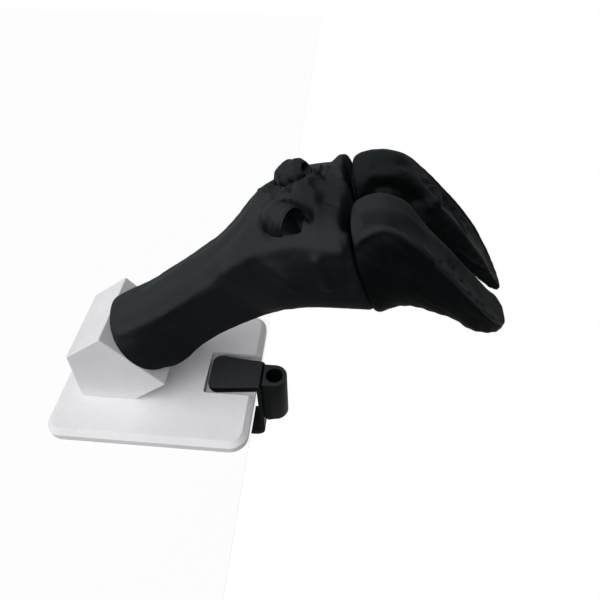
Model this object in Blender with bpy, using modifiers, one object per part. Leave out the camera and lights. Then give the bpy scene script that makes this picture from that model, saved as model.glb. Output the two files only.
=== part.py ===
"""Hoof-trimming practice leg on a bench stand.

A life-size cloven hoof on a short lower leg, palmar side up, bolted to a faceted block on a base plate.
A bench clamp with a lamp socket sits in a pocket of the plate.

X runs along the plate's front edge, Y away from the front, Z up.
The origin is the centre of the plate's underside. Sizes are millimetres, and MM turns them into metres.
"""

import math

import bmesh
import bpy
import numpy as np
from mathutils import Matrix, Vector

MM = 0.001
GAP = 0.3
ROUND_SIDES = 24

# Base plate
PLATE_LENGTH = 150.0
PLATE_WIDTH = 125.0
PLATE_THICKNESS = 9.5
PLATE_CORNER = 13.0
PLATE_CHAMFER = 4.0
POCKET_INNER_X = 35.5
POCKET_WIDTH = 39.0
POCKET_FLOOR = 3.0
POCKET_CORNER = 2.0

# Faceted block, given by its leg face
FACE_SIDE = 60.0
FACE_CENTRE = (-4.9, 55.9)
FACE_NORMAL = (0.8, 0.6)
BLOCK_DEPTH = 60.0
BLOCK_SHOULDER = 37.0
BLOCK_BACK_FOOT_X = -56.0
BLOCK_FRONT_FOOT_X = -13.2
BLOCK_EDGE = 0.6

# Countersunk screws from the plate into the block
BLOCK_SCREW_X = (-48.0, -23.0)
BLOCK_SCREW_Y = (-21.0, 21.0)
BLOCK_SCREW_RADIUS = 2.0
BLOCK_SCREW_HEAD_RADIUS = 4.0
BLOCK_SCREW_HEAD_HEIGHT = 2.4
BLOCK_SCREW_LENGTH = 22.0

# Bolt along the leg's axis, with distances measured from the leg face
BOLT_RADIUS = 5.0
BOLT_HEAD_FLATS = 17.0
BOLT_HEAD_HEIGHT = 6.4
BOLT_REACH = 30.0
BOLT_SEAT_DEPTH = 24.0
WASHER_RADIUS = 10.0
WASHER_THICKNESS = 2.0
RECESS_SIDE = 24.0
RECESS_LENGTH = 60.0
INSERT_RADIUS = 7.0
INSERT_START = 3.0
INSERT_LENGTH = 24.0

# Leg sections from the block to the claws.
# Each is the palmar point (x, z), the dorsal point (x, z), the half width and the squareness of the outline.
LEG_SECTIONS = (
    (-22.9, 79.9, 13.1, 31.9, 30.0, 2.0),
    (-2.6, 94.4, 33.6, 48.8, 29.0, 2.0),
    (17.2, 109.7, 52.4, 67.8, 27.2, 2.1),
    (36.3, 125.3, 71.2, 83.7, 28.0, 2.1),
    (54.0, 139.5, 89.0, 97.0, 31.5, 2.1),
    (68.5, 155.0, 104.5, 108.8, 37.0, 2.2),
    (83.5, 173.5, 119.0, 120.0, 43.0, 2.3),
    (100.5, 182.5, 131.5, 123.8, 45.5, 2.4),
    (117.5, 187.0, 145.0, 125.0, 46.5, 2.5),
    (135.3, 189.0, 158.0, 124.0, 46.0, 2.5),
)
LEG_RING_POINTS = 40
LEG_SPAN_STEPS = 3

# Flat flanks below the tendons: the sections where they start and end,
# and the line on the outline, as parts of the half width and half height, where they bend.
FLANK_START = (0.2, 1.6)
FLANK_END = (4.0, 6.0)
FLANK_TOP = (0.5, 0.62)
FLANK_LINE = 0.737
FLANK_SLOPE = 0.17
FLANK_SHARE = 0.8

# Claw sections from the leg to the toe, for the front and the back claw.
# Each is the palmar point, the dorsal point, the inner and outer distance from the middle plane at the sole,
# the squareness of the outline in the palmar half's inner and outer quarter and in the dorsal half,
# and how far the inner and the outer wall shift towards the middle plane on their way to the dorsal side.
FRONT_CLAW_SECTIONS = (
    (136.3, 187.4, 158.0, 125.3, 3.5, 45.0, 2.4, 2.6, 2.2, 0.0, 0.0),
    (142.0, 193.0, 163.5, 128.0, 3.5, 42.0, 2.4, 3.8, 2.2, 0.0, -3.0),
    (152.0, 196.0, 171.0, 130.5, 4.5, 39.2, 2.6, 5.5, 2.2, 0.5, -4.5),
    (163.5, 191.5, 180.0, 130.5, 8.5, 39.2, 3.4, 6.5, 2.2, 3.5, -3.0),
    (177.0, 179.0, 189.5, 127.5, 13.0, 41.5, 5.5, 7.5, 2.2, 7.0, 1.5),
    (191.5, 164.5, 200.0, 124.5, 15.0, 43.0, 9.0, 9.0, 2.2, 8.0, 3.5),
    (206.5, 148.5, 210.0, 118.5, 15.5, 44.0, 10.0, 10.0, 2.2, 8.0, 4.5),
    (219.0, 133.8, 219.5, 115.2, 13.5, 40.8, 10.0, 10.0, 2.2, 6.0, 4.0),
    (228.0, 122.2, 227.0, 112.2, 8.5, 33.0, 8.0, 8.0, 2.2, 2.0, 2.0),
    (233.2, 115.2, 231.8, 110.0, 8.5, 23.5, 5.0, 5.0, 2.0, 0.0, 0.0),
)
BACK_CLAW_SECTIONS = (
    (136.3, 187.4, 158.0, 125.3, 3.5, 45.0, 2.4, 2.4, 2.2, 0.0, 0.0),
    (142.0, 191.4, 163.5, 128.5, 3.5, 45.5, 2.4, 2.3, 2.2, 0.0, 0.0),
    (152.0, 193.4, 171.0, 131.5, 4.5, 45.5, 2.5, 2.4, 2.2, 0.5, 0.5),
    (163.5, 190.5, 180.0, 132.0, 9.0, 45.5, 3.2, 2.9, 2.2, 3.5, 2.0),
    (177.0, 179.0, 189.5, 129.5, 15.0, 46.0, 5.0, 5.0, 2.2, 7.0, 3.0),
    (191.5, 164.5, 200.0, 126.0, 17.0, 46.5, 9.0, 9.0, 2.2, 8.0, 4.5),
    (207.0, 148.0, 210.0, 118.0, 16.5, 47.5, 10.0, 10.0, 2.2, 8.0, 4.5),
    (221.0, 131.5, 220.5, 112.5, 14.0, 45.5, 10.0, 10.0, 2.2, 6.0, 4.0),
    (231.0, 118.3, 229.0, 107.8, 10.0, 39.0, 8.0, 8.0, 2.2, 2.0, 2.0),
    (237.0, 110.0, 234.8, 105.0, 11.0, 27.5, 5.0, 5.0, 2.0, 0.0, 0.0),
)
CLAW_RING_POINTS = 32
CLAW_SPAN_STEPS = 2

# Square pegs and grub screws that hold the claws
PEG_SIDE = 14.0
PEG_REACH = 22.0
PEG_EDGE = 1.0
PEG_OFFSET_Y = 26.5
GRUB_RADIUS = 2.5
GRUB_LENGTH = 12.0
GRUB_ALONG_PEG = 13.0
GRUB_KEY_FLATS = 2.5
GRUB_KEY_DEPTH = 3.0
GRUB_ACCESS = 40.0

# Dewclaws, egg shaped, half sunk into the leg
DEWCLAW_CENTRE = (103.0, 22.0, 178.5)
DEWCLAW_RADII = (13.0, 10.5, 10.5)
DEWCLAW_DIP = 20.0
DEWCLAW_TOE_OUT = 12.0
DEWCLAW_CREASE = 0.6

# Bench clamp
JAW_TOP = 10.0
JAW_THICKNESS = 4.7
JAW_INNER_X = 37.8
JAW_INNER_WIDTH = 31.0
JAW_INNER_CORNER = 6.0
JAW_ROOT_WIDTH = 25.0
SPINE_INNER_X = 75.6
SPINE_THICKNESS = 3.6
ARM_BOTTOM = -62.0
ARM_THICKNESS = 5.0
ARM_INNER_X = 36.0
ARM_BEND = 9.0
BOSS_RADIUS = 9.0
BOSS_LENGTH = 12.0
JAW_PAD_THICKNESS = 1.7

# Lamp socket
SOCKET_X = 88.2
SOCKET_RADIUS = 10.0
SOCKET_BORE_RADIUS = 6.75
SOCKET_BOTTOM = -41.0
SOCKET_BORE_DEPTH = 38.0
SOCKET_EDGE = 3.0
SOCKET_SCREW_Y = (-5.0, 5.0)
SOCKET_SCREW_Z = -34.5
SOCKET_SCREW_RADIUS = 1.5
SOCKET_SCREW_HEAD_RADIUS = 2.8
SOCKET_SCREW_HEAD_HEIGHT = 1.6
SOCKET_SCREW_LENGTH = 11.0

# Clamp screw and its pad, drawn up for a bench of this thickness
BENCH_THICKNESS = 25.0
SCREW_X = 46.0
SCREW_RADIUS = 4.0
SCREW_LENGTH = 72.0
SCREW_TIP_RADIUS = 3.2
SCREW_TIP_LENGTH = 4.0
FACING_RADIUS = 11.0
FACING_THICKNESS = 2.0
SWIVEL_RADIUS = 12.0
SWIVEL_THICKNESS = 6.5
KNOB_RADIUS = 14.0
KNOB_HEIGHT = 14.0
KNOB_FLUTES = 8
KNOB_FLUTE_RADIUS = 3.0
KNOB_FLUTE_CENTRE = 15.6

# Colours (linear), roughness and metallic value of each finish
FINISHES = {
    "white_plastic": ((0.74, 0.74, 0.77), 0.5, 0.0),
    "black_print": ((0.008, 0.010, 0.012), 0.5, 0.0),
    "black_satin": ((0.012, 0.013, 0.014), 0.4, 0.0),
    "black_rubber": ((0.010, 0.010, 0.011), 0.8, 0.0),
    "zinc_steel": ((0.55, 0.56, 0.58), 0.35, 1.0),
    "brass": ((0.70, 0.52, 0.24), 0.35, 1.0),
}

PARTS_COLLECTION = "hoof_practice_leg"
CUTTERS_COLLECTION = "hoof_practice_leg_cutters"


def clear_scene():
    """Remove every object and start the two collections."""
    for thing in list(bpy.data.objects):
        bpy.data.objects.remove(thing, do_unlink=True)
    for name in (PARTS_COLLECTION, CUTTERS_COLLECTION):
        collection = bpy.data.collections.get(name) or bpy.data.collections.new(name)
        if collection.name not in bpy.context.scene.collection.children:
            bpy.context.scene.collection.children.link(collection)


def finish_material(part_name, finish):
    """Make the part's own material from a named finish."""
    colour, roughness, metallic = FINISHES[finish]
    material = bpy.data.materials.new(part_name)
    material.use_nodes = True
    shader = material.node_tree.nodes["Principled BSDF"]
    shader.inputs["Base Color"].default_value = (*colour, 1.0)
    shader.inputs["Roughness"].default_value = roughness
    shader.inputs["Metallic"].default_value = metallic
    return material


def add_object(name, mesh, finish=None):
    """Link a mesh as a part, or as a cutter where it has no finish."""
    thing = bpy.data.objects.new(name, mesh)
    if finish:
        mesh.materials.append(finish_material(name, finish))
        bpy.data.collections[PARTS_COLLECTION].objects.link(thing)
    else:
        bpy.data.collections[CUTTERS_COLLECTION].objects.link(thing)
        thing.hide_render = True
        thing.display_type = "WIRE"
    return thing


def mesh_from(shape, name):
    """Close a bmesh, face it outwards, scale it to metres and return it as a mesh."""
    bmesh.ops.recalc_face_normals(shape, faces=shape.faces)
    bmesh.ops.scale(shape, vec=(MM, MM, MM), verts=shape.verts)
    mesh = bpy.data.meshes.new(name)
    shape.to_mesh(mesh)
    shape.free()
    return mesh


def shade_round(thing, angle=35.0):
    """Shade a part smooth, with sharp edges above an angle in degrees."""
    thing.data.shade_smooth()
    thing.data.set_sharp_from_angle(angle=math.radians(angle))


def box_shape(size, centre=(0.0, 0.0, 0.0)):
    """Return a box as a bmesh."""
    shape = bmesh.new()
    bmesh.ops.create_cube(shape, size=1.0)
    bmesh.ops.scale(shape, vec=size, verts=shape.verts)
    bmesh.ops.translate(shape, vec=centre, verts=shape.verts)
    return shape


def add_rod(shape, radius, start, end, sides=ROUND_SIDES, end_radius=None, centre=(0.0, 0.0)):
    """Add a closed rod or cone along Z to a bmesh."""
    place = Matrix.Translation((centre[0], centre[1], (start + end) / 2))
    bmesh.ops.create_cone(
        shape,
        cap_ends=True,
        segments=sides,
        radius1=radius,
        radius2=radius if end_radius is None else end_radius,
        depth=end - start,
        matrix=place,
    )


def turned(name, profile, finish=None, sides=ROUND_SIDES):
    """Turn a profile of (radius, z) points, which runs down the outer side, about Z."""
    shape = bmesh.new()
    corners = [shape.verts.new((radius * MM, 0.0, height * MM)) for radius, height in profile]
    for first, second in zip(corners, corners[1:]):
        shape.edges.new((first, second))
    mesh = bpy.data.meshes.new(name)
    shape.to_mesh(mesh)
    shape.free()
    thing = add_object(name, mesh, finish)
    screw = thing.modifiers.new("turn", "SCREW")
    screw.steps = sides
    screw.render_steps = sides
    screw.use_merge_vertices = True
    screw.merge_threshold = 0.00001
    return thing


def baked(thing):
    """Replace an object's mesh by its evaluated mesh, so that its modifiers are used up."""
    bpy.context.view_layer.update()
    evaluated = thing.evaluated_get(bpy.context.evaluated_depsgraph_get())
    mesh = bpy.data.meshes.new_from_object(evaluated)
    thing.modifiers.clear()
    thing.data = mesh
    return thing


def extruded(name, outline, low, high, finish=None):
    """Extrude a flat outline of (x, y) points along Z from low to high, by a filled 2D curve."""
    curve = bpy.data.curves.new(name + "_outline", "CURVE")
    curve.dimensions = "2D"
    curve.fill_mode = "BOTH"
    curve.extrude = (high - low) / 2 * MM
    spline = curve.splines.new("POLY")
    spline.points.add(len(outline) - 1)
    for point, (x, y) in zip(spline.points, outline):
        point.co = (x * MM, y * MM, 0.0, 1.0)
    spline.use_cyclic_u = True
    drawn = bpy.data.objects.new(name + "_outline", curve)
    bpy.context.scene.collection.objects.link(drawn)
    bpy.context.view_layer.update()
    mesh = bpy.data.meshes.new_from_object(drawn.evaluated_get(bpy.context.evaluated_depsgraph_get()))
    bpy.data.objects.remove(drawn, do_unlink=True)
    bpy.data.curves.remove(curve)
    shape = bmesh.new()
    shape.from_mesh(mesh)
    bpy.data.meshes.remove(mesh)
    bmesh.ops.remove_doubles(shape, verts=shape.verts, dist=0.00001)
    bmesh.ops.translate(shape, vec=(0.0, 0.0, (low + high) / 2 * MM), verts=shape.verts)
    bmesh.ops.recalc_face_normals(shape, faces=shape.faces)
    solid = bpy.data.meshes.new(name)
    shape.to_mesh(solid)
    shape.free()
    return add_object(name, solid, finish)


def arc(centre, radius, start, end, steps):
    """Return points on an arc, with angles in degrees."""
    angles = np.radians(np.linspace(start, end, steps + 1))
    return [(centre[0] + radius * math.cos(a), centre[1] + radius * math.sin(a)) for a in angles]


def cut(target, cutter):
    """Cut one object out of another."""
    boolean = target.modifiers.new("cut_" + cutter.name, "BOOLEAN")
    boolean.operation = "DIFFERENCE"
    boolean.solver = "EXACT"
    boolean.object = cutter


def join(target, other):
    """Unite a helper solid with a part, use the Boolean up and remove the helper."""
    boolean = target.modifiers.new("join_" + other.name, "BOOLEAN")
    boolean.operation = "UNION"
    boolean.solver = "EXACT"
    boolean.object = other
    baked(target)
    bpy.data.objects.remove(other, do_unlink=True)


def round_edges(thing, width, segments=1, angle=40.0):
    """Bevel every edge sharper than an angle in degrees."""
    bevel = thing.modifiers.new("edges", "BEVEL")
    bevel.width = width * MM
    bevel.segments = segments
    bevel.limit_method = "ANGLE"
    bevel.angle_limit = math.radians(angle)


def place(thing, matrix):
    """Put an object into the world by a matrix in millimetres."""
    rotation = matrix.to_3x3().to_4x4()
    thing.matrix_world = Matrix.Translation(matrix.translation * MM) @ rotation
    bpy.context.view_layer.update()


def axis_frame(centre, direction, side=(0.0, 1.0, 0.0)):
    """Return a frame at a point whose Z runs along a direction and whose Y is a given side."""
    z_axis = Vector(direction).normalized()
    x_axis = Vector(side).cross(z_axis).normalized()
    y_axis = z_axis.cross(x_axis)
    rotation = Matrix((x_axis, y_axis, z_axis)).transposed().to_4x4()
    return Matrix.Translation(centre) @ rotation


def carry(thing, axis_empty):
    """Parent a part to the empty on its joint's axis and keep its place."""
    thing.parent = axis_empty
    thing.matrix_parent_inverse = axis_empty.matrix_world.inverted()


def joint_empty(name, matrix):
    """Make an empty on a joint's axis, with Z along the axis."""
    empty = bpy.data.objects.new(name, None)
    bpy.data.collections[PARTS_COLLECTION].objects.link(empty)
    place(empty, matrix)
    return empty


def smooth_rows(rows, steps):
    """Interpolate table rows by a Catmull-Rom curve, with a number of steps for each span."""
    rows = np.array(rows, dtype=float)
    padded = np.vstack([2 * rows[0] - rows[1], rows, 2 * rows[-1] - rows[-2]])
    before, start, end, after = padded[:-3], padded[1:-2], padded[2:-1], padded[3:]
    filled = []
    for t in np.arange(steps) / steps:
        bend = 2 * before - 5 * start + 4 * end - after
        twist = 3 * start - before - 3 * end + after
        filled.append(0.5 * (2 * start + (end - before) * t + bend * t**2 + twist * t**3))
    spans = np.stack(filled, axis=1).reshape(-1, rows.shape[1])
    return np.vstack([spans, rows[-1]])


def soft_step(value, low, high):
    """Return 0 below low and 1 above high, with a smooth run between them."""
    t = np.clip((value - low) / (high - low), 0.0, 1.0)
    return t * t * (3.0 - 2.0 * t)


def ring_directions(inner_power, outer_power, dorsal_power, points):
    """Return the across and upward parts of super-ellipse rings.

    The palmar half has one power for its inner quarter and one for its outer quarter.
    """
    angle = np.linspace(0.0, 2 * math.pi, points, endpoint=False)[None, :]
    palmar_power = np.where(np.cos(angle) > 0.0, outer_power[:, None], inner_power[:, None])
    power = np.where(np.sin(angle) >= 0.0, palmar_power, dorsal_power[:, None])
    across = np.sign(np.cos(angle)) * np.abs(np.cos(angle)) ** (2.0 / power)
    upward = np.sign(np.sin(angle)) * np.abs(np.sin(angle)) ** (2.0 / power)
    return across, upward


def placed_rings(palmar, dorsal, upward, y):
    """Return rings of points in the planes of Y and the lines from the dorsal to the palmar points."""
    middle = (palmar + dorsal) / 2
    reach = (palmar - dorsal) / 2
    x = middle[:, :1] + reach[:, :1] * upward
    z = middle[:, 1:] + reach[:, 1:] * upward
    return np.stack([x, y, z], axis=2)


def lofted(name, rings, finish):
    """Skin rings of points into a closed solid with flat ends."""
    shape = bmesh.new()
    rows = [[shape.verts.new(point) for point in ring] for ring in rings.tolist()]
    for low, high in zip(rows, rows[1:]):
        for index in range(len(low)):
            following = (index + 1) % len(low)
            shape.faces.new((low[index], low[following], high[following], high[index]))
    shape.faces.new(reversed(rows[0]))
    shape.faces.new(rows[-1])
    return add_object(name, mesh_from(shape, name), finish)


def leg_rings():
    """Return the leg's rings from the slanted face to the claws, with flat flanks below the tendons."""
    rows = smooth_rows(LEG_SECTIONS, LEG_SPAN_STEPS)
    across, upward = ring_directions(rows[:, 5], rows[:, 5], rows[:, 5], LEG_RING_POINTS)
    place = np.arange(len(rows))[:, None] / LEG_SPAN_STEPS
    share = soft_step(place, *FLANK_START) - soft_step(place, *FLANK_END)
    share = FLANK_SHARE * share * (1.0 - soft_step(upward, *FLANK_TOP))
    bulge = np.maximum(np.abs(across) - FLANK_LINE - FLANK_SLOPE * upward, 0.0)
    across = across - np.sign(across) * share * bulge
    rings = placed_rings(rows[:, 0:2], rows[:, 2:4], upward, rows[:, 4:5] * across)
    rings[0] += np.array([FACE_NORMAL[0], 0.0, FACE_NORMAL[1]]) * GAP
    return rings


def claw_rings(side):
    """Return a claw's rings from the leg to the toe, on the side given by the sign."""
    rows = smooth_rows(FRONT_CLAW_SECTIONS if side < 0 else BACK_CLAW_SECTIONS, CLAW_SPAN_STEPS)
    across, upward = ring_directions(rows[:, 6], rows[:, 7], rows[:, 8], CLAW_RING_POINTS)
    inner, outer = rows[:, 4:5], rows[:, 5:6]
    shift = np.where(across > 0.0, rows[:, 10:11], rows[:, 9:10]) * np.abs(across) * (1.0 - upward) / 2
    y = (inner + outer) / 2 + (outer - inner) / 2 * across - shift
    return placed_rings(rows[:, 0:2], rows[:, 2:4], upward, side * y)


def claw_joint_frame(side):
    """Return the frame in the middle of a claw's joint face, with Z along its peg."""
    palmar = np.array(LEG_SECTIONS[-1][0:2])
    dorsal = np.array(LEG_SECTIONS[-1][2:4])
    middle = (palmar + dorsal) / 2
    rise = palmar - dorsal
    return axis_frame((middle[0], side * PEG_OFFSET_Y, middle[1]), (rise[1], 0.0, -rise[0]))


def build_base_plate():
    """Build the plate with its pocket and countersunk holes."""
    shape = box_shape((PLATE_LENGTH, PLATE_WIDTH, PLATE_THICKNESS), (0.0, 0.0, PLATE_THICKNESS / 2))
    upright = [e for e in shape.edges if abs(e.verts[0].co.z - e.verts[1].co.z) > GAP]
    bmesh.ops.bevel(shape, geom=upright, offset=PLATE_CORNER, segments=6, profile=0.5, affect="EDGES")
    top = [e for e in shape.edges if all(v.co.z > PLATE_THICKNESS - GAP for v in e.verts)]
    bmesh.ops.bevel(shape, geom=top, offset=PLATE_CHAMFER, segments=1, profile=0.5, affect="EDGES")
    plate = add_object("base_plate", mesh_from(shape, "base_plate"), "white_plastic")
    overrun = 10.0
    pocket_length = PLATE_LENGTH / 2 + overrun - POCKET_INNER_X
    pocket = box_shape(
        (pocket_length, POCKET_WIDTH, PLATE_THICKNESS),
        (POCKET_INNER_X + pocket_length / 2, 0.0, POCKET_FLOOR + PLATE_THICKNESS / 2),
    )
    upright = [e for e in pocket.edges if abs(e.verts[0].co.z - e.verts[1].co.z) > GAP]
    bmesh.ops.bevel(pocket, geom=upright, offset=POCKET_CORNER, segments=3, profile=0.5, affect="EDGES")
    cut(plate, add_object("pocket_cutter", mesh_from(pocket, "pocket_cutter")))
    for x in BLOCK_SCREW_X:
        for y in BLOCK_SCREW_Y:
            hole = bmesh.new()
            add_rod(hole, BLOCK_SCREW_RADIUS + GAP, -1.0, PLATE_THICKNESS + 1.0, centre=(x, y))
            cut(plate, add_object("screw_hole_cutter", mesh_from(hole, "screw_hole_cutter")))
            sink = bmesh.new()
            depth = BLOCK_SCREW_HEAD_HEIGHT + GAP
            mouth = BLOCK_SCREW_HEAD_RADIUS + 2 * GAP
            add_rod(sink, mouth, -GAP, depth, end_radius=BLOCK_SCREW_RADIUS, centre=(x, y))
            cut(plate, add_object("countersink_cutter", mesh_from(sink, "countersink_cutter")))
    return plate


def block_outline():
    """Return the block's side outline as (x, z) points."""
    normal = np.array(FACE_NORMAL)
    along = np.array([-normal[1], normal[0]])
    centre = np.array(FACE_CENTRE)
    foot = PLATE_THICKNESS + GAP
    top = centre + along * FACE_SIDE / 2
    bottom = centre - along * FACE_SIDE / 2
    shoulder = top - normal * BLOCK_SHOULDER
    return [(BLOCK_BACK_FOOT_X, foot), (BLOCK_FRONT_FOOT_X, foot), tuple(bottom), tuple(top), tuple(shoulder)]


def leg_axis_frame():
    """Return the frame on the leg face with Z along the bolt."""
    return axis_frame((FACE_CENTRE[0], 0.0, FACE_CENTRE[1]), (FACE_NORMAL[0], 0.0, FACE_NORMAL[1]))


def build_facet_block():
    """Build the faceted block with its bolt hole, tool recess and screw holes."""
    block = extruded("facet_block", block_outline(), -BLOCK_DEPTH / 2, BLOCK_DEPTH / 2, "white_plastic")
    block.data.transform(Matrix.Rotation(math.pi / 2, 4, "X"))
    round_edges(block, BLOCK_EDGE)
    bore = bmesh.new()
    add_rod(bore, BOLT_RADIUS + GAP, -BOLT_SEAT_DEPTH - 1.0, 5.0)
    bore_cutter = add_object("bolt_bore_cutter", mesh_from(bore, "bolt_bore_cutter"))
    place(bore_cutter, leg_axis_frame())
    cut(block, bore_cutter)
    recess = box_shape(
        (RECESS_SIDE, RECESS_SIDE, RECESS_LENGTH), (0.0, 0.0, -BOLT_SEAT_DEPTH - RECESS_LENGTH / 2)
    )
    recess_cutter = add_object("recess_cutter", mesh_from(recess, "recess_cutter"))
    place(recess_cutter, leg_axis_frame())
    cut(block, recess_cutter)
    for x in BLOCK_SCREW_X:
        for y in BLOCK_SCREW_Y:
            hole = bmesh.new()
            add_rod(hole, BLOCK_SCREW_RADIUS + GAP, 0.0, BLOCK_SCREW_LENGTH + 2.0, centre=(x, y))
            cut(block, add_object("pilot_cutter", mesh_from(hole, "pilot_cutter")))
    return block


def countersunk_screw(shape, radius, head_radius, head_height, length, sides=16):
    """Add a countersunk screw to a bmesh, head at the origin and shank along +Z, as one turned body."""
    rings = [(head_radius, 0.0), (radius, head_height), (radius, length)]
    angle = np.linspace(0.0, 2 * math.pi, sides, endpoint=False)
    rows = []
    for ring_radius, height in rings:
        rows.append([
            shape.verts.new((ring_radius * math.cos(a), ring_radius * math.sin(a), height)) for a in angle
        ])
    for low, high in zip(rows, rows[1:]):
        for index in range(sides):
            following = (index + 1) % sides
            shape.faces.new((low[index], low[following], high[following], high[index]))
    shape.faces.new(reversed(rows[0]))
    shape.faces.new(rows[-1])


def build_block_screws():
    """Build the four screws that hold the block."""
    shape = bmesh.new()
    countersunk_screw(
        shape, BLOCK_SCREW_RADIUS, BLOCK_SCREW_HEAD_RADIUS, BLOCK_SCREW_HEAD_HEIGHT, BLOCK_SCREW_LENGTH
    )
    mesh = mesh_from(shape, "block_screw")
    spots = [(x, y) for x in BLOCK_SCREW_X for y in BLOCK_SCREW_Y]
    for number, (x, y) in enumerate(spots, start=1):
        screw = add_object(f"block_screw_{number}", mesh.copy(), "zinc_steel")
        shade_round(screw)
        place(screw, Matrix.Translation((x, y, GAP)))


def build_leg_bolt():
    """Build the hexagon bolt that the leg turns on."""
    seat = -BOLT_SEAT_DEPTH - WASHER_THICKNESS - 2 * GAP
    shank = bmesh.new()
    add_rod(shank, BOLT_RADIUS, seat - 1.0, BOLT_REACH)
    bolt = add_object("leg_bolt", mesh_from(shank, "leg_bolt"), "zinc_steel")
    head = bmesh.new()
    corner = BOLT_HEAD_FLATS / math.sqrt(3.0)
    add_rod(head, corner, seat - BOLT_HEAD_HEIGHT, seat, sides=6)
    join(bolt, add_object("bolt_head", mesh_from(head, "bolt_head")))
    shade_round(bolt)
    place(bolt, leg_axis_frame())
    return bolt


def build_leg_washer():
    """Build the washer under the bolt head."""
    top = -BOLT_SEAT_DEPTH - GAP
    inner = BOLT_RADIUS + GAP
    low = top - WASHER_THICKNESS
    profile = [(inner, top), (WASHER_RADIUS, top), (WASHER_RADIUS, low), (inner, low), (inner, top)]
    washer = baked(turned("leg_washer", profile, "zinc_steel"))
    shade_round(washer)
    place(washer, leg_axis_frame())
    return washer


def build_leg_insert():
    """Build the threaded insert in the leg's foot."""
    inner = BOLT_RADIUS + GAP
    low = INSERT_START
    top = INSERT_START + INSERT_LENGTH
    groove = 0.8
    middle = (low + top) / 2
    profile = [
        (inner, top),
        (INSERT_RADIUS, top),
        (INSERT_RADIUS, middle + 2.0),
        (INSERT_RADIUS - groove, middle + 1.0),
        (INSERT_RADIUS - groove, middle - 1.0),
        (INSERT_RADIUS, middle - 2.0),
        (INSERT_RADIUS, low),
        (inner, low),
        (inner, top),
    ]
    insert = baked(turned("leg_insert", profile, "brass"))
    shade_round(insert)
    place(insert, leg_axis_frame())
    return insert


def dewclaw_frame(side):
    """Return the frame of a dewclaw, with X towards its tip."""
    x, y, z = DEWCLAW_CENTRE
    turn = Matrix.Rotation(math.radians(side * DEWCLAW_TOE_OUT), 4, "Z")
    dip = Matrix.Rotation(math.radians(DEWCLAW_DIP), 4, "Y")
    return Matrix.Translation((x, side * y, z)) @ turn @ dip


def egg_shape(radii):
    """Return an egg-shaped solid as a bmesh."""
    shape = bmesh.new()
    bmesh.ops.create_uvsphere(shape, u_segments=18, v_segments=10, radius=1.0)
    bmesh.ops.scale(shape, vec=radii, verts=shape.verts)
    return shape


def build_dewclaw(name, side):
    """Build a dewclaw."""
    dewclaw = add_object(name, mesh_from(egg_shape(DEWCLAW_RADII), name), "black_print")
    shade_round(dewclaw, 60.0)
    place(dewclaw, dewclaw_frame(side))
    return dewclaw


def peg_cutter(name, side):
    """Return the cutter for a peg's hole, which goes into the leg and into the claw."""
    side_length = PEG_SIDE + 2 * GAP
    shape = box_shape((side_length, side_length, 2 * (PEG_REACH + GAP)))
    cutter = add_object(name, mesh_from(shape, name))
    place(cutter, claw_joint_frame(side))
    return cutter


def build_leg():
    """Build the leg with its insert hole, peg holes and dewclaw hollows."""
    leg = lofted("leg", leg_rings(), "black_print")
    bore = bmesh.new()
    add_rod(bore, INSERT_RADIUS + GAP, -2.0, BOLT_REACH + 2.0)
    bore_cutter = add_object("insert_bore_cutter", mesh_from(bore, "insert_bore_cutter"))
    place(bore_cutter, leg_axis_frame())
    cut(leg, bore_cutter)
    hollow_radii = [radius + DEWCLAW_CREASE for radius in DEWCLAW_RADII]
    for label, side in (("front", -1), ("back", 1)):
        cut(leg, peg_cutter("leg_peg_cutter_" + label, side))
        cutter_name = "dewclaw_cutter_" + label
        hollow = add_object(cutter_name, mesh_from(egg_shape(hollow_radii), cutter_name))
        place(hollow, dewclaw_frame(side))
        cut(leg, hollow)
    shade_round(leg, 50.0)
    return leg


def grub_frame(side):
    """Return the frame of a grub screw, at the peg's axis with Z towards the dorsal side."""
    joint = claw_joint_frame(side)
    peg_axis = joint.to_3x3() @ Vector((0.0, 0.0, 1.0))
    dorsal = Vector((0.0, 1.0, 0.0)).cross(peg_axis)
    if dorsal.z > 0.0:
        dorsal = -dorsal
    return axis_frame(joint.translation + peg_axis * GRUB_ALONG_PEG, dorsal)


def build_claw(name, side):
    """Build a claw with its peg hole and the hole for its grub screw."""
    rings = claw_rings(side)
    claw = lofted(name, rings, "black_print")
    cut(claw, peg_cutter("claw_peg_cutter_" + name, side))
    hole = bmesh.new()
    add_rod(hole, GRUB_RADIUS + GAP, PEG_SIDE / 2 - 1.0, PEG_SIDE / 2 + GRUB_ACCESS, sides=16)
    hole_cutter = add_object("grub_cutter_" + name, mesh_from(hole, "grub_cutter_" + name))
    place(hole_cutter, grub_frame(side))
    cut(claw, hole_cutter)
    shade_round(claw, 50.0)
    return claw


def build_claw_peg(name, side):
    """Build a square peg."""
    peg = add_object(name, mesh_from(box_shape((PEG_SIDE, PEG_SIDE, 2 * PEG_REACH)), name), "zinc_steel")
    round_edges(peg, PEG_EDGE)
    place(peg, claw_joint_frame(side))
    return peg


def build_claw_screw(name, side):
    """Build a grub screw with a hexagon socket."""
    tip = PEG_SIDE / 2 + GAP
    rod = bmesh.new()
    add_rod(rod, GRUB_RADIUS, tip, tip + GRUB_LENGTH, sides=16)
    grub = add_object(name, mesh_from(rod, name), "zinc_steel")
    key = bmesh.new()
    end = tip + GRUB_LENGTH
    add_rod(key, GRUB_KEY_FLATS / math.sqrt(3.0), end - GRUB_KEY_DEPTH, end + 1.0, sides=6)
    key_cutter = add_object("key_cutter_" + name, mesh_from(key, "key_cutter_" + name))
    place(key_cutter, grub_frame(side))
    place(grub, grub_frame(side))
    cut(grub, key_cutter)
    shade_round(grub)
    return grub


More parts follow.
